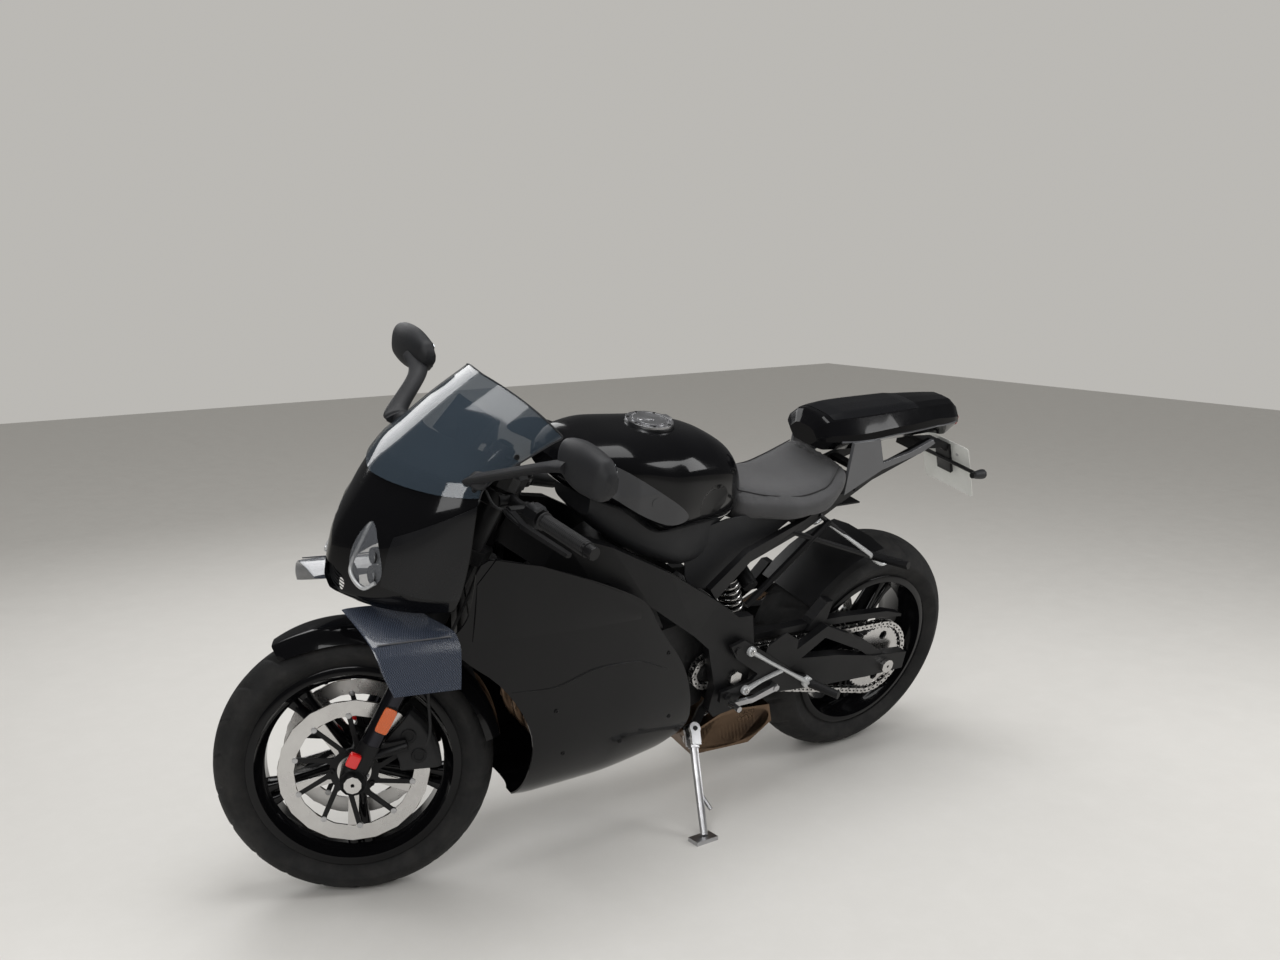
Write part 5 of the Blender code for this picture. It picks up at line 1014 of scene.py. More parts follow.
piece("cap_lock", *together(lathe((0.800, 0, 1.0435), (0, 0, 1),
                                  [(0, 0.0125), (0.0014, 0.0125), (0.0018, 0.0115)], 32),
                           pillow((0.816, 0, 1.0445), (0.030, 0.014, 0.003), (0, 1, 0), (0, 0, 1), 4)), ALLOY,
      "chassis")

COVER_OUTLINE = [(1.085, 0.985), (1.045, 1.012), (0.985, 1.008), (0.900, 0.960), (0.800, 0.895),
                 (0.785, 0.868), (0.840, 0.860),
                 (0.920, 0.895), (1.010, 0.952)]
u, v = np.meshgrid(np.linspace(0, 1, 61), np.linspace(0, 1, 41))
cx, cz = 0.77 + 0.33 * u, 0.85 + 0.17 * v
half, low, high, power = (curved([(r[0], r[k]) for r in TANK_ROWS], np.minimum(cx, 0.98))
                          for k in (1, 2, 3, 4))
lift = np.minimum(0.98, np.abs(0.93 - (low + high) / 2) / ((high - low) / 2))
cy = np.minimum(half * (1 - lift**power) ** (1 / power) + 0.018 + 0.030 * u,
                0.185) - 0.05 * np.maximum(0, v - 0.55)
cover = trimmed(thick(np.stack([cx, cy, cz], axis=-1), 0.0038, (0, 1, 0)),
                prism(softened(COVER_OUTLINE, 2), "y", 0.05, 0.30), "INTERSECT")
cover = together(cover, lathe((0.89, 0.140, 0.925), (0, 1, 0), [(0, 0.010), (0.046, 0.010)], 16))
for side, tag in SIDES:
    piece("tank_cover_skin_" + tag, *sided(cover, side), FLANK, "chassis", ("tank_cover_" + tag,))

under = []
for x, half, low, high in zip(*[curved(list(zip(range(5), column)), np.linspace(0, 4, 40)) for column in zip(
        (0.600, 0.070, 0.700, 0.840), (0.700, 0.098, 0.690, 0.850), (0.820, 0.104, 0.730, 0.880),
        (0.920, 0.092, 0.790, 0.900),
        (0.985, 0.074, 0.850, 0.925))]):
    t = np.linspace(0, math.tau, 32, endpoint=False)
    c, q = np.cos(t), np.sin(t)
    under.append(np.stack([np.full(32, x), half * np.sign(c) * np.abs(c) ** 0.5,
                           (low + high) / 2 + (high - low) / 2 * np.sign(q) * np.abs(q) ** 0.5],
                          axis=-1))
piece("air_box", *closed_loft(under), PLASTIC, "chassis")

inner_line = softened([(0.690, 0.800), (0.420, 0.806), (0.350, 0.792), (0.430, 0.742), (0.520, 0.668),
                       (0.590, 0.612), (0.700, 0.640)], 2)
for side, tag in SIDES:
    near, far = sorted((side * 0.0785, side * 0.0825))
    piece("inner_panel_" + tag, *prism(inner_line, "y", near, far), PLASTIC, "chassis", bevel=0.001)

# The rider's seat is swollen by a cloth simulation, then its seams are laid on
SEAT_GRID, SWELL_LIMIT, SWELL_FRAMES = 0.0055, 0.006, 20
seat_x = eased_span(0.575, 0.248, 40)
seat_form = closed_loft(section(SEAT_ROWS, seat_x, 56))
middle = seat_form[0].mean(0)
start = (middle + (seat_form[0] - middle) * 0.975, seat_form[1])
gap_tank = closed_loft(section([(r[0], r[1] + 0.003, r[2] - 0.003, r[3] + 0.003, r[4]) for r in TANK_ROWS],
                               eased_span(0.553, 1.066, 40), 64))
seat_shape = trimmed(start, gap_tank)


def seat_cushion():
    """The seat's closed form remeshed finely and swollen by cloth pressure up to a limit."""
    obj = raw_object((placed(seat_shape[0], "chassis"), seat_shape[1]))
    obj.name = "seat_cushion"
    grid = obj.modifiers.new("Grid", "REMESH")
    grid.mode = "VOXEL"
    grid.voxel_size = SEAT_GRID
    mesh = bpy.data.meshes.new_from_object(obj.evaluated_get(bpy.context.evaluated_depsgraph_get()))
    old = obj.data
    obj.modifiers.clear()
    obj.data = mesh
    bpy.data.meshes.remove(old)
    before = form_of(mesh)[0]
    cloth = obj.modifiers.new("Cloth", "CLOTH")
    cloth.settings.use_pressure = True
    cloth.settings.uniform_pressure_force = 4.0
    cloth.settings.effector_weights.gravity = 0.0
    cloth.settings.tension_stiffness = 15
    cloth.settings.compression_stiffness = 15
    for number in range(1, SWELL_FRAMES + 1):
        bpy.context.scene.frame_set(number)
    swollen = bpy.data.meshes.new_from_object(obj.evaluated_get(bpy.context.evaluated_depsgraph_get()))
    after = form_of(swollen)[0]
    obj.modifiers.clear()
    bpy.context.scene.frame_set(1)
    bpy.data.meshes.remove(swollen)
    move = after - before
    far = np.linalg.norm(move, axis=1)
    before = before + move * np.minimum(1, SWELL_LIMIT / np.maximum(far, 1e-9))[:, None]
    mesh.vertices.foreach_set("co", before.astype(np.float32).ravel())
    mesh.materials.clear()
    mesh.materials.append(COVER)
    mesh.shade_smooth()
    even = obj.modifiers.new("Even", "SUBSURF")
    even.levels = even.render_levels = 1
    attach(obj, "chassis")
    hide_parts("rider_seat")


seat_cushion()


def seat_top(x, y, lift=0.0):
    """The seat's upper surface height at x and y."""
    half, low, high, power = (curved([(r[0], r[k]) for r in SEAT_ROWS], x) for k in (1, 2, 3, 4))
    t = np.minimum(np.abs(y) / half, 0.999)
    return (low + high) / 2 + (high - low) / 2 * (1 - t**power) ** (1 / power) + lift


for side, tag in SIDES:
    sx = np.linspace(0.540, 0.262, 16)
    sy = curved([(0.262, 0.095), (0.320, 0.118), (0.400, 0.112), (0.480, 0.088), (0.540, 0.052)], sx)
    line = np.stack([sx, side * sy, seat_top(sx, sy, 0.0005)], axis=-1)
    piece("seat_seam_" + tag, *pipe(line, 0.0014, 70, 8), GRIP, "chassis")

TAIL_FACETS = ((0.00, 0.00), (0.62, 0.02), (1.00, 0.40), (0.96, 0.58), (0.66, 0.90), (0.40, 0.985),
               (0.00, 1.00))


def tail_rings(x):
    """Angular rings: shares of half width and height, each scaled by the smooth size tables."""
    half, low, high = (curved([(r[0], r[k]) for r in TAIL_ROWS], x)[:, None] for k in (1, 2, 3))
    fine = np.linspace(0, len(TAIL_FACETS) - 1, 6 * (len(TAIL_FACETS) - 1) + 1)
    out, up = (np.interp(fine, range(len(TAIL_FACETS)), [f[k] for f in TAIL_FACETS])[None] for k in (0, 1))
    left = np.stack([np.broadcast_to(np.asarray(x)[:, None], (len(x), out.size)), half * out,
                     low + (high - low) * up], axis=-1)
    right = left[:, -2:0:-1] * [1, -1, 1]
    return np.concatenate([left, right], axis=1)


tail = closed_loft(tail_rings(eased_span(-0.198, 0.315, 64)))
piece("tail_skin", *tail, PAINT, "chassis", ("tail_cowl",), sharp=16)


def tail_y(x, z):
    """How far out the tail lies at a place along it and a height."""
    half, low, high = (float(curved([(r[0], r[k]) for r in TAIL_ROWS], x)) for k in (1, 2, 3))
    return half * float(np.interp((z - low) / (high - low), [f[1] for f in TAIL_FACETS],
                                  [f[0] for f in TAIL_FACETS]))


for side, tag in SIDES:
    xs = np.linspace(0.270, -0.175, 26)
    line = np.array([(x, side * (tail_y(x, 0.972 + 0.02 * (0.27 - x)) + 0.0008), 0.972 + 0.02 * (0.27 - x))
                     for x in xs])
    piece("tail_crease_" + tag, *pipe(line, 0.0024, 60, 8), GREY, "chassis")
u, v = np.meshgrid(np.linspace(0, 1, 41), np.linspace(-1, 1, 31))
px = 0.275 - 0.300 * u
ph, pl, pt = (curved([(r[0], r[k]) for r in TAIL_ROWS], px) for k in (1, 2, 3))
py = v * ph * 0.62
rise = 0.0042 * np.minimum(1, 4 * (1 - np.abs(v))) * np.minimum(1, 8 * u) * np.minimum(1, 8 * (1 - u))
pz = pl + (pt - pl) * np.interp(np.abs(v) * 0.62, [0.0, 0.40, 0.66], [1.0, 0.985, 0.90]) + 0.0008 + rise
piece("tail_hard_cover", *thick(np.stack([px, py, pz], axis=-1), 0.004, (0, 0, 1)), PANEL, "chassis",
      sharp=20)


# Brake discs: a drilled band on a spider of arms


def drilled_disc(name, centre, plane, radius, band, body, stands_for, hub=0.052, arms=5, rows=3, steps=120):
    """A wavy band drilled in slanted rows, and the carrier whose arms end in round floating buttons."""
    turn = np.linspace(0, math.tau, steps, endpoint=False)
    edge = radius - 0.0012 + 0.0011 * np.cos(turn * 10)
    outer = np.stack([edge * np.cos(turn), edge * np.sin(turn)], axis=-1)
    inner_edge = radius - band + 0.0018 * np.cos(turn * 10)
    inner = np.stack([inner_edge * np.cos(turn), inner_edge * np.sin(turn)], axis=-1)
    holes = [inner]
    around = 30
    for k in range(around):
        for j in range(rows):
            a = math.tau * (k + (j % 2) * 0.5 + 0.12 * j) / around
            r = radius - band + 0.0065 + (band - 0.012) * j / max(1, rows - 1)
            holes.append(circle(0.0034, 8, (r * math.cos(a), r * math.sin(a))))
    at = np.asarray(centre) + [0, plane, 0]
    lap = np.stack([outer, outer, inner, inner], axis=1)
    tall = np.array([-0.0024, 0.0024, 0.0024, -0.0024])
    wall = np.stack([at[0] + lap[..., 0], at[1] + np.broadcast_to(tall, lap.shape[:2]), at[2] + lap[..., 1]],
                    axis=-1)
    ring = (wall.reshape(-1, 3), grid_faces(steps, 4, close_rows=True, close_columns=True))
    drills = together(*[prism(hole + [at[0], at[2]], "y", at[1] - 0.006, at[1] + 0.006)
                        for hole in holes[1:]])
    piece(name, *trimmed(ring, drills), DISC, body, stands_for, sharp=30)
    inside = radius - band - 0.0005
    web = cut_sheet(circle(hub, 80), [circle(hub - 0.016, 40)], 0.0060)
    reach = np.array([(hub - 0.004, -0.0095), (hub + 0.006, -0.0060), (inside - 0.004, -0.0052),
                      (inside + 0.001, -0.0062),
                      (inside + 0.001, 0.0062), (inside - 0.004, 0.0052), (hub + 0.006, 0.0060),
                      (hub - 0.004, 0.0095)])
    arm_forms = []
    for k in range(arms * 2):
        a = math.tau * k / (arms * 2) + 0.2
        sweep = 0.22 * (reach[:, 0] - inside) / (hub - inside)
        c, q = np.cos(a + sweep), np.sin(a + sweep)
        arm_forms.append(cut_sheet(np.stack([reach[:, 0] * c - reach[:, 1] * q,
                                             reach[:, 0] * q + reach[:, 1] * c], axis=-1), [], 0.0056))
    carrier = together(*[stood(form, at) for form in [web, *arm_forms]])
    buttons, bolts = [], []
    for k in range(arms * 2):
        a = math.tau * k / (arms * 2) + 0.2
        out = np.array([math.cos(a), 0, math.sin(a)])
        buttons.append(lathe(at + out * (inside + 0.0005) + [0, -0.0046, 0], (0, 1, 0), [
            (0, 0.0030), (0.0006, 0.0062), (0.0024, 0.0066), (0.0068, 0.0066), (0.0086, 0.0062),
            (0.0092, 0.0030)], 18))
    for k in range(5):
        a = math.tau * k / 5
        out = np.array([math.cos(a), 0, math.sin(a)])
        bolts.append((at + out * (hub - 0.006) + [0, math.copysign(0.003, plane), 0],
                      (0, math.copysign(1, plane), 0)))
    piece(name + "_carrier", *together(carrier, screws(bolts, 0.0062, 0.0048)), SATIN, body)
    piece(name + "_buttons", *together(*buttons), ALLOY, body)


for side, tag in SIDES:
    drilled_disc("front_disc_band_" + tag, FRONT_AXLE, side * 0.0655, 0.160, 0.034, "front_wheel",
                 ("front_disc_" + tag,))
drilled_disc("rear_disc_band", REAR_AXLE, -0.0885, 0.110, 0.030, "rear_wheel", ("rear_disc",), hub=0.046,
             rows=3, steps=100)

# Drive chain: two rollers a link, waisted plates that alternate between an inner and an outer plane
CHAIN_PLANE, PITCH = 0.1135, 0.015875
FRONT_TEETH, REAR_TEETH = 16, 41
FRONT_SPROCKET_AT = (0.600, 0.405)


def chain_pins():
    """Every pin's place in side view: two straights tangent to the pitch circles, joined round them."""
    big, small = (PITCH / (2 * math.sin(math.pi / teeth)) for teeth in (REAR_TEETH, FRONT_TEETH))
    front, rear = np.array(FRONT_SPROCKET_AT), REAR_AXLE[[0, 2]]
    run = front - rear
    slope = math.atan2(run[1], run[0])
    taper = math.asin((big - small) / np.linalg.norm(run))
    straight = np.linalg.norm(run) * math.cos(taper)
    wraps = (small * (math.pi - 2 * taper), big * (math.pi + 2 * taper))
    total = 2 * straight + sum(wraps)
    count = 2 * round(total / PITCH / 2)
    s = total * np.arange(count) / count
    top, bottom = math.pi / 2 + slope - taper, -math.pi / 2 + slope + taper
    zone = np.searchsorted([straight, straight + wraps[0], 2 * straight + wraps[0]], s, side="right")
    turn = np.choose(zone, [np.full(count, top), top - (s - straight) / small, np.full(count, bottom),
                            bottom - (s - 2 * straight - wraps[0]) / big])
    centre = np.where((zone == 0)[:, None] | (zone == 3)[:, None], rear, front)
    radius = np.where((zone == 0) | (zone == 3), big, small)
    onward = np.where(zone == 0, s, np.where(zone == 2, s - straight - wraps[0], 0))
    out = np.stack([np.cos(turn), np.sin(turn)], axis=-1)
    return centre + out * radius[:, None] + np.stack([out[:, 1], -out[:, 0]], axis=-1) * onward[:, None]


pins = chain_pins()
nexts = np.roll(pins, -1, axis=0)
bars, rollers = [], []
t = np.linspace(0, math.tau, 20, endpoint=False)
bar_x = np.where(np.cos(t) > 0, 0.5, -0.5) * PITCH + 0.0072 * np.cos(t)
bar_z = 0.0072 * np.sin(t) * (1 - 0.24 * np.exp(-((bar_x / 0.004) ** 2)))
for i, (a, b) in enumerate(zip(pins, nexts)):
    run = (b - a) / np.linalg.norm(b - a)
    mid = (a + b) / 2
    off = 0.0098 if i % 2 else 0.0076
    for side in (1, -1):
        near, far = CHAIN_PLANE + side * (off - 0.0019), CHAIN_PLANE + side * off
        flat_x = mid[0] + bar_x * run[0] - bar_z * run[1]
        flat_z = mid[1] + bar_x * run[1] + bar_z * run[0]
        bars.append(prism(np.stack([flat_x, flat_z], axis=-1), "y", near, far))
    rollers.append(lathe((a[0], CHAIN_PLANE - 0.0110, a[1]), (0, 1, 0), [
        (0, 0.0026), (0.0054, 0.0026), (0.0056, 0.0050), (0.0164, 0.0050), (0.0166, 0.0026),
        (0.0220, 0.0026)], 10))
piece("chain_links", *together(*bars), STEEL, "chassis", ("chain",), sharp=30)
piece("chain_rollers", *together(*rollers), CAST, "chassis", sharp=40)

# Fork legs
for side, tag in SIDES:
    y = side * FORK_SPREAD
    outer = lathe(on_fork(0.270, y), UP_FORK, [
        (0, 0.0225), (0, 0.0262), (0.003, 0.0282), (0.020, 0.0284), (0.023, 0.0275), (0.478, 0.0275),
        (0.480, 0.0262)], 40)
    cap = lathe(on_fork(0.744, y), UP_FORK,
                [(0, 0.0225), (0.008, 0.0225), (0.010, 0.0205), (0.010, 0.0120), (0.018, 0.0115),
                                            (0.018, 0.0060), (0.014, 0.0055)], 24)
    foot = lathe(on_fork(0.010, y), UP_FORK, [(0, 0.0200), (0.010, 0.0235), (0.060, 0.0235), (0.078, 0.0225)],
                 32)
    lug = lathe(FRONT_AXLE + [0, y - 0.024, 0], (0, 1, 0),
                [(0, 0.0150), (0, 0.0270), (0.002, 0.0290), (0.046, 0.0290), (0.048, 0.0270),
                                                       (0.048, 0.0150)], 36)
    ear = pipe([on_fork(0.055, side * 0.1125, -0.004), on_fork(0.085, side * 0.100, -0.040),
                on_fork(0.112, side * 0.097, -0.070)],
               0.0125, 20, 12, 0.62)
    piece("fork_outer_" + tag, *together(outer, cap, foot, lug, ear), SATIN, "steering", ("fork_" + tag,))
    piece("fork_slider_" + tag, *lathe(on_fork(0.070, y), UP_FORK, [(0, 0.0215), (0.212, 0.0215)], 40),
          SLIDER, "steering")
    piece("fork_seal_" + tag,
          *lathe(on_fork(0.262, y), UP_FORK, [(0, 0.0225), (0.002, 0.0262), (0.008, 0.0268), (0.010, 0.0230)],
                 36),
          GRIP, "steering")
    pinch = [(on_fork(a, y - side * 0.004, -0.024), (-AHEAD)) for a in (-0.012, 0.014)]
    piece("fork_screws_" + tag, *screws(pinch, 0.0050, 0.005), ALLOY, "steering")
    holder = pillow(on_fork(0.152, side * 0.1245, -0.004), (0.026, 0.0060, 0.066), (0, 1, 0), UP_FORK, 7)
    reflector = pillow(on_fork(0.152, side * 0.1285, -0.004), (0.028, 0.0050, 0.058), (0, 1, 0), UP_FORK, 7)
    piece("reflector_holder_" + tag, *holder, SATIN, "steering")
    piece("reflector_" + tag, *reflector, AMBER, "steering")
    clip_at = on_fork(0.046, side * 0.127, 0.020)
    piece("axle_marker_" + tag, *pillow(clip_at, (0.026, 0.015, 0.032), (0, 1, 0), UP_FORK, 6), RED,
          "steering")
    piece("caliper_trim_" + tag, *together(*[
        lathe(FRONT_AXLE + [0.142 * math.cos(math.radians(a)), side * 0.0890,
                            0.142 * math.sin(math.radians(a))], (0, side, 0),
              [(0, 0.0165), (0.0022, 0.0165), (0.0034, 0.0150), (0.0034, 0.0105), (0.0020, 0.0095)], 28)
        for a in (142, 162)]),
        SATIN, "steering")

# Front mudguard


def arch(half, radius, droop, centre, start, end, wall, rows=90, columns=41):
    """A mudguard's sheet: its radius drops by a power curve towards both lips, and its ends taper round."""
    a, s = np.meshgrid(np.radians(np.linspace(start, end, rows)), np.linspace(-1, 1, columns), indexing="ij")
    share = (np.degrees(a) - start) / (end - start)
    narrow = 1 - 0.36 * np.clip((0.16 - share) / 0.16, 0, 1) ** 2 - 0.22 * np.clip((share - 0.90) / 0.10, 0,
                                                                                   1) ** 2
    r = radius - 0.003 * np.abs(s) ** 2 - (droop - 0.003) * np.clip((np.abs(s) - 0.52) / 0.48, 0, 1) ** 1.7
    points = np.stack([centre[0] + r * np.cos(a), s * half * narrow, centre[1] + r * np.sin(a)], axis=-1)
    return thick(points, wall, (0, 0, 1))


guard = arch(0.070, 0.319, 0.034, (WHEELBASE, 0.300), 56, 168, 0.003)
parts = [guard]
for side in (1, -1):
    outline = softened([(1.395, 0.598), (1.300, 0.560), (1.245, 0.505), (1.330, 0.470), (1.385, 0.480),
                        (1.420, 0.545)], 2)
    near, far = sorted((side * 0.0665, side * 0.0703))
    parts.append(prism(outline, "y", near, far))
    at = on_fork(0.225)
    near, far = sorted((side * 0.0690, side * 0.0832))
    parts.append(lathe((at[0], near, at[2]), (0, 1, 0), [(0, 0.010), (far - near, 0.010)], 20))
piece("mudguard_skin", *together(*parts), PAINT, "steering", ("front_mudguard",))

# Mirrors
for side, tag in SIDES:
    head = np.array([1.212, 0.377, 1.115])
    s = np.linspace(-0.088, 0.082, 34)
    high = curved([(-0.088, 0.012), (-0.070, 0.034), (0.0, 0.046), (0.060, 0.040), (0.082, 0.016)], s)
    low = curved([(-0.088, -0.014), (-0.070, -0.036), (0.0, -0.048), (0.060, -0.042), (0.082, -0.020)], s)
    deep = curved([(-0.088, 0.010), (-0.070, 0.022), (0.0, 0.032), (0.060, 0.026), (0.082, 0.012)], s)
    t = np.linspace(0, math.tau, 40, endpoint=False)
    c, q = np.cos(t), np.sin(t)
    ring_x = np.where(c > 0, deep[:, None] * np.abs(c) ** 0.75, -0.014 * np.abs(c) ** 0.35)
    ring_z = (high + low)[:, None] / 2 + (high - low)[:, None] / 2 * np.sign(q) * np.abs(q) ** 0.8
    shell_form = closed_loft(np.stack([head[0] + ring_x, head[1] + np.broadcast_to(s[:, None], ring_x.shape),
                                       head[2] + ring_z], axis=-1))
    su, sv = np.meshgrid(np.linspace(-0.076, 0.072, 30), np.linspace(-0.9, 0.9, 20))
    gh = curved([(-0.088, 0.010), (-0.070, 0.030), (0.0, 0.041), (0.060, 0.035), (0.082, 0.012)], su)
    gl = curved([(-0.088, -0.012), (-0.070, -0.032), (0.0, -0.043), (0.060, -0.037), (0.082, -0.016)], su)
    pane = np.stack([head[0] - 0.0146 + 0 * su, head[1] + su, head[2] + (gh + gl) / 2 + (gh - gl) / 2 * sv],
                    axis=-1)
    foot = skin_out(np.array(0.86), np.array(0.62), 0.003)
    out = unit(skin_out(np.array(0.86), np.array(0.62), 0.02) - skin_out(np.array(0.86), np.array(0.62), 0.0))
    path = smooth_path([foot - out * 0.004, foot + out * 0.020, (1.247, 0.285, 1.084), (1.226, 0.345, 1.106)],
                       44)
    span = np.linspace(0, 1, 44)[:, None]
    t2 = np.linspace(0, math.tau, 28, endpoint=False)[None]
    deep_half = 0.034 - 0.014 * np.sin(span * math.pi / 2) + 0.006 * span**3
    tall_half = 0.0095 + 0.006 * (1 - span) ** 3 + 0.010 * span**4
    aft = 0.006 * np.sin(span * math.pi)
    stalk = closed_loft(path[:, None, :] + np.stack([
        deep_half * np.sign(np.cos(t2)) * np.abs(np.cos(t2)) ** 1.1 - aft, 0 * t2 * span,
        tall_half * np.sin(t2) * (1 - 0.35 * np.cos(t2))], axis=-1))
    pad = lathe(foot - out * 0.003, out, [(0, 0.019), (0.006, 0.0185), (0.010, 0.015)], 30)
    body = together(shell_form, stalk, pad)
    glass = thick(pane, 0.0008, (-1, 0, 0))
    piece("mirror_shell_" + tag, *sided(body, side), PLASTIC, "chassis", ("mirror_" + tag,), sharp=50)
    piece("mirror_glass_" + tag, *sided(glass, side), GLASS, "chassis")

# Bars: clamp, tube, ribbed grip, switch pod, perch and bent lever
BAR_IN, BAR_OUT = np.array([1.158, 0.122, 0.918]), np.array([1.006, 0.345, 0.861])
BAR_RUN = unit(BAR_OUT - BAR_IN)
BAR_AHEAD = unit(np.cross(BAR_RUN, [0, 0, 1]))
BAR_LENGTH = float(np.linalg.norm(BAR_OUT - BAR_IN))


def on_bar(share, lift=0.0, ahead=0.0):
    """A point along the left handlebar, raised or moved ahead of it."""
    return BAR_IN + (BAR_OUT - BAR_IN) * share + np.array([0, 0, lift]) + BAR_AHEAD * ahead


for side, tag in SIDES:
    low = on_fork(0.658, FORK_SPREAD)
    clamp = trimmed(lathe(low, UP_FORK, [(0, 0.0350), (0.0015, 0.0362), (0.0325, 0.0362), (0.034, 0.0350)],
                          36),
                    lathe(on_fork(0.60, FORK_SPREAD), UP_FORK, [(0, 0.0279), (0.15, 0.0279)], 36))
    neck = pipe([on_fork(0.675, FORK_SPREAD + 0.030, -0.004), on_bar(0.02), on_bar(0.10)],
                [0.015, 0.013, 0.0112], 16, 16)
    bar = lathe(on_bar(-0.05), BAR_RUN, [(0, 0.0110), (BAR_LENGTH * 1.02, 0.0110)], 24)
    metal = together(clamp, neck, bar)
    end = lathe(on_bar(0.935), BAR_RUN,
                [(0, 0.0100), (0.0015, 0.0136), (0.014, 0.0140), (0.0175, 0.0125), (0.0175, 0.006),
                 (0.015, 0.005)], 28)
    ribs = [(0.0, 0.0150), (0.001, 0.0196), (0.004, 0.0196), (0.005, 0.0160)]
    span = BAR_LENGTH * 0.50
    for k in range(26):
        base = 0.007 + (span - 0.012) * k / 26
        step = (span - 0.012) / 26
        ribs += [(base, 0.0158), (base + step * 0.25, 0.0166), (base + step * 0.70, 0.0166),
                 (base + step * 0.9, 0.0158)]
    ribs += [(span, 0.0160)]
    grip = lathe(on_bar(0.425), BAR_RUN, ribs, 30)
    pod = together(
        pillow(on_bar(0.335, 0.0005, -0.001), (0.036, 0.036, 0.046), BAR_RUN, (0, 0, 1), 4.5, 16),
        lathe(on_bar(0.275), BAR_RUN, [(0, 0.0150), (0.002, 0.0185), (0.010, 0.0190)], 26))
    keys = together(
        pillow(on_bar(0.325, 0.012, -0.020), (0.008, 0.012, 0.010), BAR_RUN, (0, 0, 1), 4, 10),
        pillow(on_bar(0.325, -0.004, -0.021), (0.008, 0.018, 0.008), BAR_RUN, (0, 0, 1), 4, 10),
        pillow(on_bar(0.365, 0.008, -0.020), (0.008, 0.008, 0.008), BAR_RUN, (0, 0, 1), 4, 10))
    perch = together(
        lathe(on_bar(0.200), BAR_RUN, [(0, 0.0150), (0.001, 0.0165), (0.013, 0.0165), (0.014, 0.0150)], 26),
        pipe([on_bar(0.235, 0.001, 0.010), on_bar(0.235, 0.002, 0.030), on_bar(0.215, 0.002, 0.048)],
             [0.0120, 0.0110, 0.0115], 18, 16, 0.8))
    lever = pipe([on_bar(0.200, 0.002, 0.050), on_bar(0.30, 0.001, 0.058), on_bar(0.45, -0.002, 0.0565),
                  on_bar(0.66, -0.004, 0.047),
                  on_bar(0.84, -0.005, 0.044), on_bar(0.925, -0.006, 0.048)],
                 [0.0065, 0.0060, 0.0050, 0.0048, 0.0050, 0.0058], 60, 14, 0.72)
    piece("bar_metal_" + tag, *sided(metal, side), SATIN, "steering", ("clip_on_" + tag,))
    piece("bar_end_" + tag, *sided(end, side), SATIN, "steering")
    piece("grip_" + tag, *sided(grip, side), GRIP, "steering")
    piece("switch_pod_" + tag, *sided(pod, side), PLASTIC, "steering")
    piece("switch_keys_" + tag, *sided(keys, side), GREY, "steering")
    piece("lever_perch_" + tag, *sided(perch, side), SATIN, "steering")
    piece("hand_lever_" + tag, *sided(lever, side), SATIN, "steering", sharp=60)
    clamp_screws = screws([(on_fork(a, FORK_SPREAD, 0.0360), AHEAD) for a in (0.666, 0.684)], 0.0046, 0.0045)
    piece("bar_screws_" + tag, *sided(clamp_screws, side), ALLOY, "steering")

foot = on_bar(0.215, 0.002, 0.045) * [1, -1, 1]
cup = np.array([1.188, -0.150, 0.985])
piece("reservoir_stalk", *pipe([foot, (foot + cup) / 2 + [0.003, 0, 0], cup + [0, 0, 0.003]], 0.0062, 20, 14),
      SATIN, "steering")
piece("reservoir_cup", *lathe(cup, (0, 0, 1),
                              [(0, 0.0150), (0.002, 0.0195), (0.006, 0.0205), (0.040, 0.0224),
                               (0.043, 0.0224)], 40),
      GREY, "steering")
piece("reservoir_lid", *lathe(cup + [0, 0, 0.042], (0, 0, 1),
                              [(0, 0.0236), (0.002, 0.0245), (0.008, 0.0245), (0.010, 0.0230),
                               (0.0102, 0.012)], 40),
      PLASTIC, "steering")

# Brake lines on the steering, each from its caliper up behind the fork to the lower clamp
for side, tag in SIDES:
    line = pipe([on_fork(0.060, side * 0.084, -0.135) + [0.010, 0, 0.045],
                 on_fork(0.150, side * 0.088, -0.105), on_fork(0.26, side * 0.086, -0.052),
                 on_fork(0.38, side * 0.082, -0.050), on_fork(0.47, side * 0.070, -0.048),
                 on_fork(0.535, side * 0.040, -0.044)], 0.0034, 80, 12)
    piece("brake_line_" + tag, *line, GRIP, "steering")
piece("master_line", *pipe([foot + [0.004, 0.004, -0.004], foot + [0.030, 0.028, -0.034],
                            on_fork(0.610, -0.110, 0.040), on_fork(0.590, -0.070, 0.042),
                           on_fork(0.560, -0.045, 0.030)], 0.0034, 70, 12), GRIP, "steering")
clutch = [on_bar(0.215, 0.002, 0.047), on_bar(0.10, 0.004, 0.060), on_fork(0.690, 0.070, 0.040),
          on_fork(0.650, 0.045, 0.030),
          on_fork(0.600, 0.030, 0.008), on_fork(0.556, 0.020, -0.030)]
piece("clutch_cable", *pipe(clutch, 0.0030, 80, 12), GRIP, "steering")

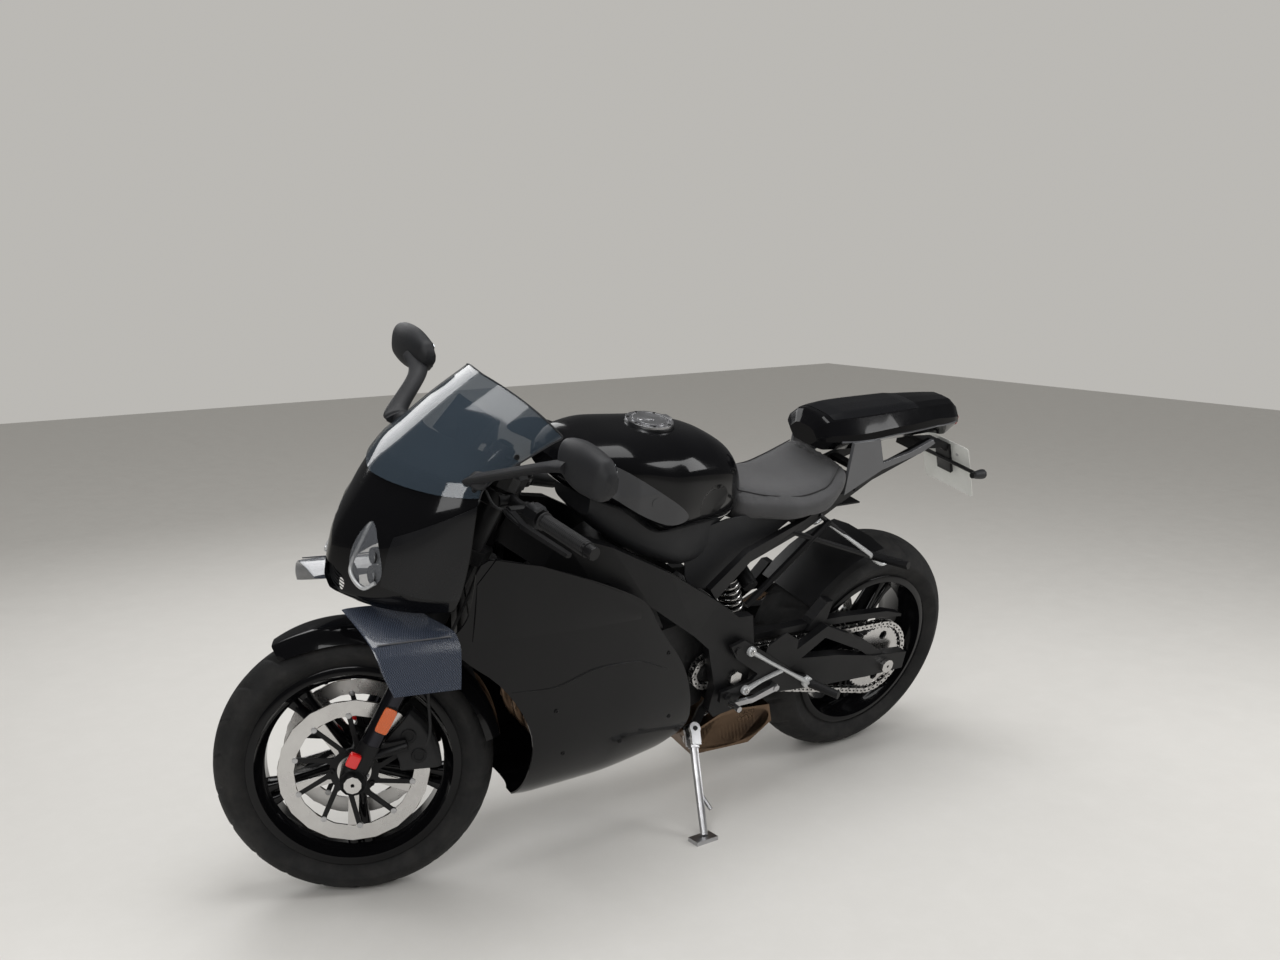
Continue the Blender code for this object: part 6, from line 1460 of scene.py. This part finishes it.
# Exhaust: headers, collector box, link pipe and silencer
forms = []
for y in (-0.105, -0.036, 0.036, 0.105):
    forms.append(pipe([(1.0019, y, 0.5858), (1.0300, y, 0.5690), (1.0425, y * 0.96, 0.515),
                       (1.041, y * 0.82, 0.350), (1.010, y * 0.66, 0.278),
                       (0.940, y * 0.58, 0.248), (0.860, y * 0.55, 0.232), (0.585, y * 0.50, 0.208)], 0.0189,
                      90, 20))
    forms.append(lathe((1.0060, y, 0.5834), (0.85, 0, -0.5),
                       [(0, 0.020), (0.002, 0.0255), (0.007, 0.0255), (0.009, 0.020)], 24))
forms.append(pipe([(0.440, -0.060, 0.215), (0.400, -0.130, 0.235), (0.330, -0.192, 0.250)], 0.0258, 40, 20))
piece("header_pipes", *together(*forms), BRONZE, "chassis", ("exhaust",))
box_line = softened([(0.610, 0.215), (0.590, 0.150), (0.400, 0.140), (0.330, 0.190), (0.350, 0.245),
                     (0.500, 0.262)], 2)
piece("collector_box", *prism(box_line, "y", -0.100, 0.105), BRONZE, "chassis", bevel=0.006)
piece("collector_seam", *together(*[pipe(np.stack([box_line[:, 0], np.full(len(box_line), y), box_line[:, 1]],
                                                  axis=-1)[list(range(24)) + [0]],
                                        0.0022, 110, 8) for y in (-0.072, 0.078)]), STEEL, "chassis")
rings = []
for x, y, z, tall, wide in np.stack([curved(list(zip(range(4), column)), np.linspace(0, 3, 46))
                                     for column in zip(
        (0.385, -0.200, 0.240, 0.066, 0.066), (0.300, -0.212, 0.262, 0.098, 0.086),
        (0.110, -0.222, 0.332, 0.102, 0.081),
        (0.072, -0.222, 0.348, 0.078, 0.061))], axis=-1):
    run = unit([-0.30, -0.02, 0.105])
    up = unit(np.cross([0, 1, 0], run)) * -1
    t = np.linspace(0, math.tau, 44, endpoint=False)
    c, q = np.cos(t), np.sin(t)
    rings.append(np.array([x, y, z]) + np.outer(np.sign(c) * np.abs(c) ** 0.72 * wide / 2,
                                                [0, 1, 0]) + np.outer(
        np.sign(q) * np.abs(q) ** 0.72 * tall / 2, up))
silencer = trimmed(closed_loft(rings),
                   lathe((0.150, -0.222, 0.318), (-0.93, 0, 0.364), [(0, 0.0195), (0.13, 0.0195)], 32))
piece("silencer_skin", *silencer, SATIN, "chassis")
piece("silencer_mouth", *lathe((0.085, -0.222, 0.3432), (-0.93, 0, 0.364), [
    (0, 0.0160), (0, 0.0190), (0.012, 0.0192), (0.0135, 0.0180), (0.0135, 0.0165), (0.004, 0.0150)], 32),
      STEEL, "chassis")

# Rear damper's spring
low, high = np.array([0.430, 0, 0.4515]), np.array([0.512, 0, 0.650])
run = unit(high - low)
a, b = axes_for(run)
turns = np.linspace(0, 6.5 * math.tau, 240)
coil = low + run * 0.040 + np.outer(turns / turns[-1] * 0.120,
                                    run) + 0.0285 * (np.outer(np.cos(turns), a) + np.outer(np.sin(turns), b))
damper = together(lathe(low, run,
                        [(0, 0.012), (0.010, 0.016), (0.034, 0.016), (0.035, 0.033), (0.041, 0.033),
                         (0.042, 0.0150), (0.158, 0.0150),
                                   (0.160, 0.0325), (0.166, 0.0325), (0.168, 0.018),
                         (float(np.linalg.norm(high - low)), 0.015)], 36),
                  lathe((0.470, 0.000, 0.640), (0, 0.8, -0.4),
                        [(0, 0.018), (0.004, 0.020), (0.082, 0.020), (0.088, 0.017)], 30))
piece("damper_body", *damper, SATIN, "chassis", ("rear_shock",))
piece("damper_spring", *pipe(coil, 0.0052, 420, 10), STEEL, "chassis", sharp=60)

# Display glass on the panel's rear face
PANEL_TILT = math.radians(-38)
panel_up = np.array([math.sin(PANEL_TILT), 0, math.cos(PANEL_TILT)])
panel_out = np.cross([0, 1, 0], panel_up)
panel_out = panel_out if panel_out[0] < 0 else -panel_out
glass_at = np.array([1.268, 0, 1.068]) + panel_out * 0.0095
piece("display_glass", *pillow(glass_at, (0.0022, 0.138, 0.078), (0, 1, 0), panel_up, 12, 16), DISPLAY,
      "chassis")

# Silver footrest arms over the black hangers
FOOTREST_PLANE = 0.1772
for side, tag in SIDES:
    stays = together(
        pipe([(0.520, FOOTREST_PLANE, 0.478), (0.455, FOOTREST_PLANE, 0.436), (0.372, FOOTREST_PLANE, 0.385),
              (0.306, FOOTREST_PLANE, 0.345)], [0.0105, 0.0080, 0.0075, 0.0120], 50, 14, 0.62),
        pipe([(0.516, FOOTREST_PLANE, 0.368), (0.470, FOOTREST_PLANE, 0.384), (0.405, FOOTREST_PLANE, 0.400)],
             [0.0100, 0.0070, 0.0080], 36, 14, 0.62),
        lathe((0.520, FOOTREST_PLANE - 0.006, 0.478), (0, 1, 0),
              [(0, 0.0125), (0.010, 0.0125), (0.012, 0.0110)], 28),
        lathe((0.516, FOOTREST_PLANE - 0.006, 0.368), (0, 1, 0),
              [(0, 0.0125), (0.010, 0.0125), (0.012, 0.0110)], 28),
        lathe((0.306, FOOTREST_PLANE - 0.008, 0.345), (0, 1, 0),
              [(0, 0.0150), (0.014, 0.0150), (0.016, 0.0130)], 28))
    piece("footrest_arms_" + tag, *sided(stays, side), SILVER, "chassis", sharp=50)
    bolts = screws([((0.520, FOOTREST_PLANE + 0.0060, 0.478), (0, 1, 0)),
                    ((0.516, FOOTREST_PLANE + 0.0060, 0.368), (0, 1, 0))], 0.0062, 0.0048)
    piece("footrest_bolts_" + tag, *sided(bolts, side), STEEL, "chassis")
    stay = together(
        pipe([(0.262, 0.101, 0.752), (0.190, 0.118, 0.706), (0.115, 0.132, 0.656)], [0.0070, 0.0080, 0.0105],
             40, 14, 0.7),
        pipe([(0.118, 0.128, 0.656), (0.075, 0.134, 0.628), (0.040, 0.136, 0.640)], [0.0110, 0.0085, 0.0060],
             30, 14, 0.7))
    piece("pillion_stay_" + tag, *sided(stay, side), SILVER, "chassis", sharp=50)

# Rear indicators and the number plate's screws
for side, tag in SIDES:
    drop = np.array([-0.068, 0, -0.150])
    ahead = unit([0.150, 0, -0.068])
    middle = np.array([-0.222, 0, 0.905]) + drop * 0.36 + ahead * 0.012 + np.array([0, side * 0.130, 0])
    lens = lathe(middle + [-0.0195, 0, 0], (-1, 0, 0),
                 [(-0.006, 0.0105), (0, 0.0118), (0.002, 0.0112), (0.0042, 0.0060), (0.0046, 0.001)], 26)
    piece("indicator_lens_" + tag, *lens, AMBER, "chassis")
    pod = lathe(middle + [0.024, 0, 0], (-1, 0, 0),
                [(0, 0.0030), (0.002, 0.0070), (0.016, 0.0108), (0.034, 0.0132), (0.0435, 0.0133),
                 (0.044, 0.0118)], 30)
    piece("indicator_pod_" + tag, *pod, PLASTIC, "chassis")
piece("plate_screws", *screws([(np.array([-0.256, y, 0.830]) + np.array([0.034, 0, 0.075]) * 0.55,
                                (-0.911, 0, 0.413)) for y in (-0.045, 0.045)],
                             0.0050, 0.0018), ALLOY, "chassis")

# Camera, light and floor: the camera's place, and its turn, tilt and roll in degrees
CAMERA_AT = (1.73012, 2.28006, 1.39769)
CAMERA_LENS, SENSOR_WIDTH = 35.343, 36.0
CAMERA_TURN, CAMERA_TILT, CAMERA_ROLL = (math.radians(v) for v in (-125.03723, -10.47776, -0.13915))
camera_data = bpy.data.cameras.new("view")
camera_data.lens = CAMERA_LENS
camera_data.sensor_width = SENSOR_WIDTH
camera = bpy.data.objects.new("view", camera_data)
bpy.context.scene.collection.objects.link(camera)
level_right = np.array([math.sin(CAMERA_TURN), -math.cos(CAMERA_TURN), 0.0])
ahead = np.array([math.cos(CAMERA_TURN) * math.cos(CAMERA_TILT), math.sin(CAMERA_TURN) * math.cos(CAMERA_TILT),
                  
                  
                  
                  
                  
                  
                  
                  
                  
                  
                  
                  
                  
                  
                  
                  
                  
                  
                  
                  
                  
                  
                  
                  
                  
                  
                  
                  
                  
                  
                  
                  
                  
                  
                  
                  
                  
                  
                  
                  
                  math.sin(CAMERA_TILT)])
level_up = np.cross(level_right, ahead)
right = level_right * math.cos(CAMERA_ROLL) + level_up * math.sin(CAMERA_ROLL)
up = level_up * math.cos(CAMERA_ROLL) - level_right * math.sin(CAMERA_ROLL)
turned = np.eye(4)
turned[:3, 0], turned[:3, 1], turned[:3, 2], turned[:3, 3] = right, up, -ahead, CAMERA_AT
camera.matrix_world = Matrix(turned.tolist())
bpy.context.scene.camera = camera


def area_light(name, at, toward, size, power, colour=(1, 1, 1)):
    """A rectangular lamp at a place, turned toward another."""
    data = bpy.data.lights.new(name, "AREA")
    data.shape = "RECTANGLE"
    data.size, data.size_y = size
    data.energy = power
    data.color = colour
    lamp = bpy.data.objects.new(name, data)
    bpy.context.scene.collection.objects.link(lamp)
    back = -unit(np.asarray(toward, float) - np.asarray(at, float))
    side = unit(np.cross([0, 0, 1], back)) if abs(back[2]) < 0.99 else np.array([1.0, 0, 0])
    m = np.eye(4)
    m[:3, 0], m[:3, 1], m[:3, 2], m[:3, 3] = side, np.cross(back, side), back, at
    lamp.matrix_world = Matrix(m.tolist())
    return lamp


area_light("overhead", (0.2, 0.2, 3.4), (0, 0, 0.5), (2.6, 1.8), 62)
area_light("front_left", (2.6, 2.2, 2.3), (0.3, 0, 0.6), (1.4, 1.6), 40)
area_light("rear_left", (-2.6, 1.8, 2.0), (-0.3, 0, 0.6), (1.2, 1.6), 34)
area_light("far_side", (0.2, -2.8, 2.4), (0, 0, 0.6), (2.4, 1.4), 30)
world = bpy.data.worlds.new("studio")
world.use_nodes = True
backdrop = world.node_tree.nodes["Background"]
dark_room = world.node_tree.nodes.new("ShaderNodeBackground")
dark_room.inputs["Color"].default_value = (0.50, 0.50, 0.50, 1)
dark_room.inputs["Strength"].default_value = 0.16
backdrop.inputs["Color"].default_value = (0.80, 0.78, 0.74, 1)
backdrop.inputs["Strength"].default_value = 0.62
rays = world.node_tree.nodes.new("ShaderNodeLightPath")
choose = world.node_tree.nodes.new("ShaderNodeMixShader")
world.node_tree.links.new(rays.outputs["Is Glossy Ray"], choose.inputs["Fac"])
world.node_tree.links.new(backdrop.outputs["Background"], choose.inputs[1])
world.node_tree.links.new(dark_room.outputs["Background"], choose.inputs[2])
world.node_tree.links.new(choose.outputs["Shader"], world.node_tree.nodes["World Output"].inputs["Surface"])
bpy.context.scene.world = world

floor_mesh = bpy.data.meshes.new("floor")
floor_mesh.from_pydata([(-9, -9, 0), (9, -9, 0), (9, 9, 0), (-9, 9, 0)], [], [(0, 1, 2, 3)])
FLOOR = finish_of("pale_floor", (0.62, 0.61, 0.59), dust=0.05, rough=(0.55, 0.65), grain=120, relief=0.0001)
floor_mesh.materials.append(FLOOR)
floor = bpy.data.objects.new("floor", floor_mesh)
bpy.context.scene.collection.objects.link(floor)
bpy.context.scene.view_settings.view_transform = "Standard"
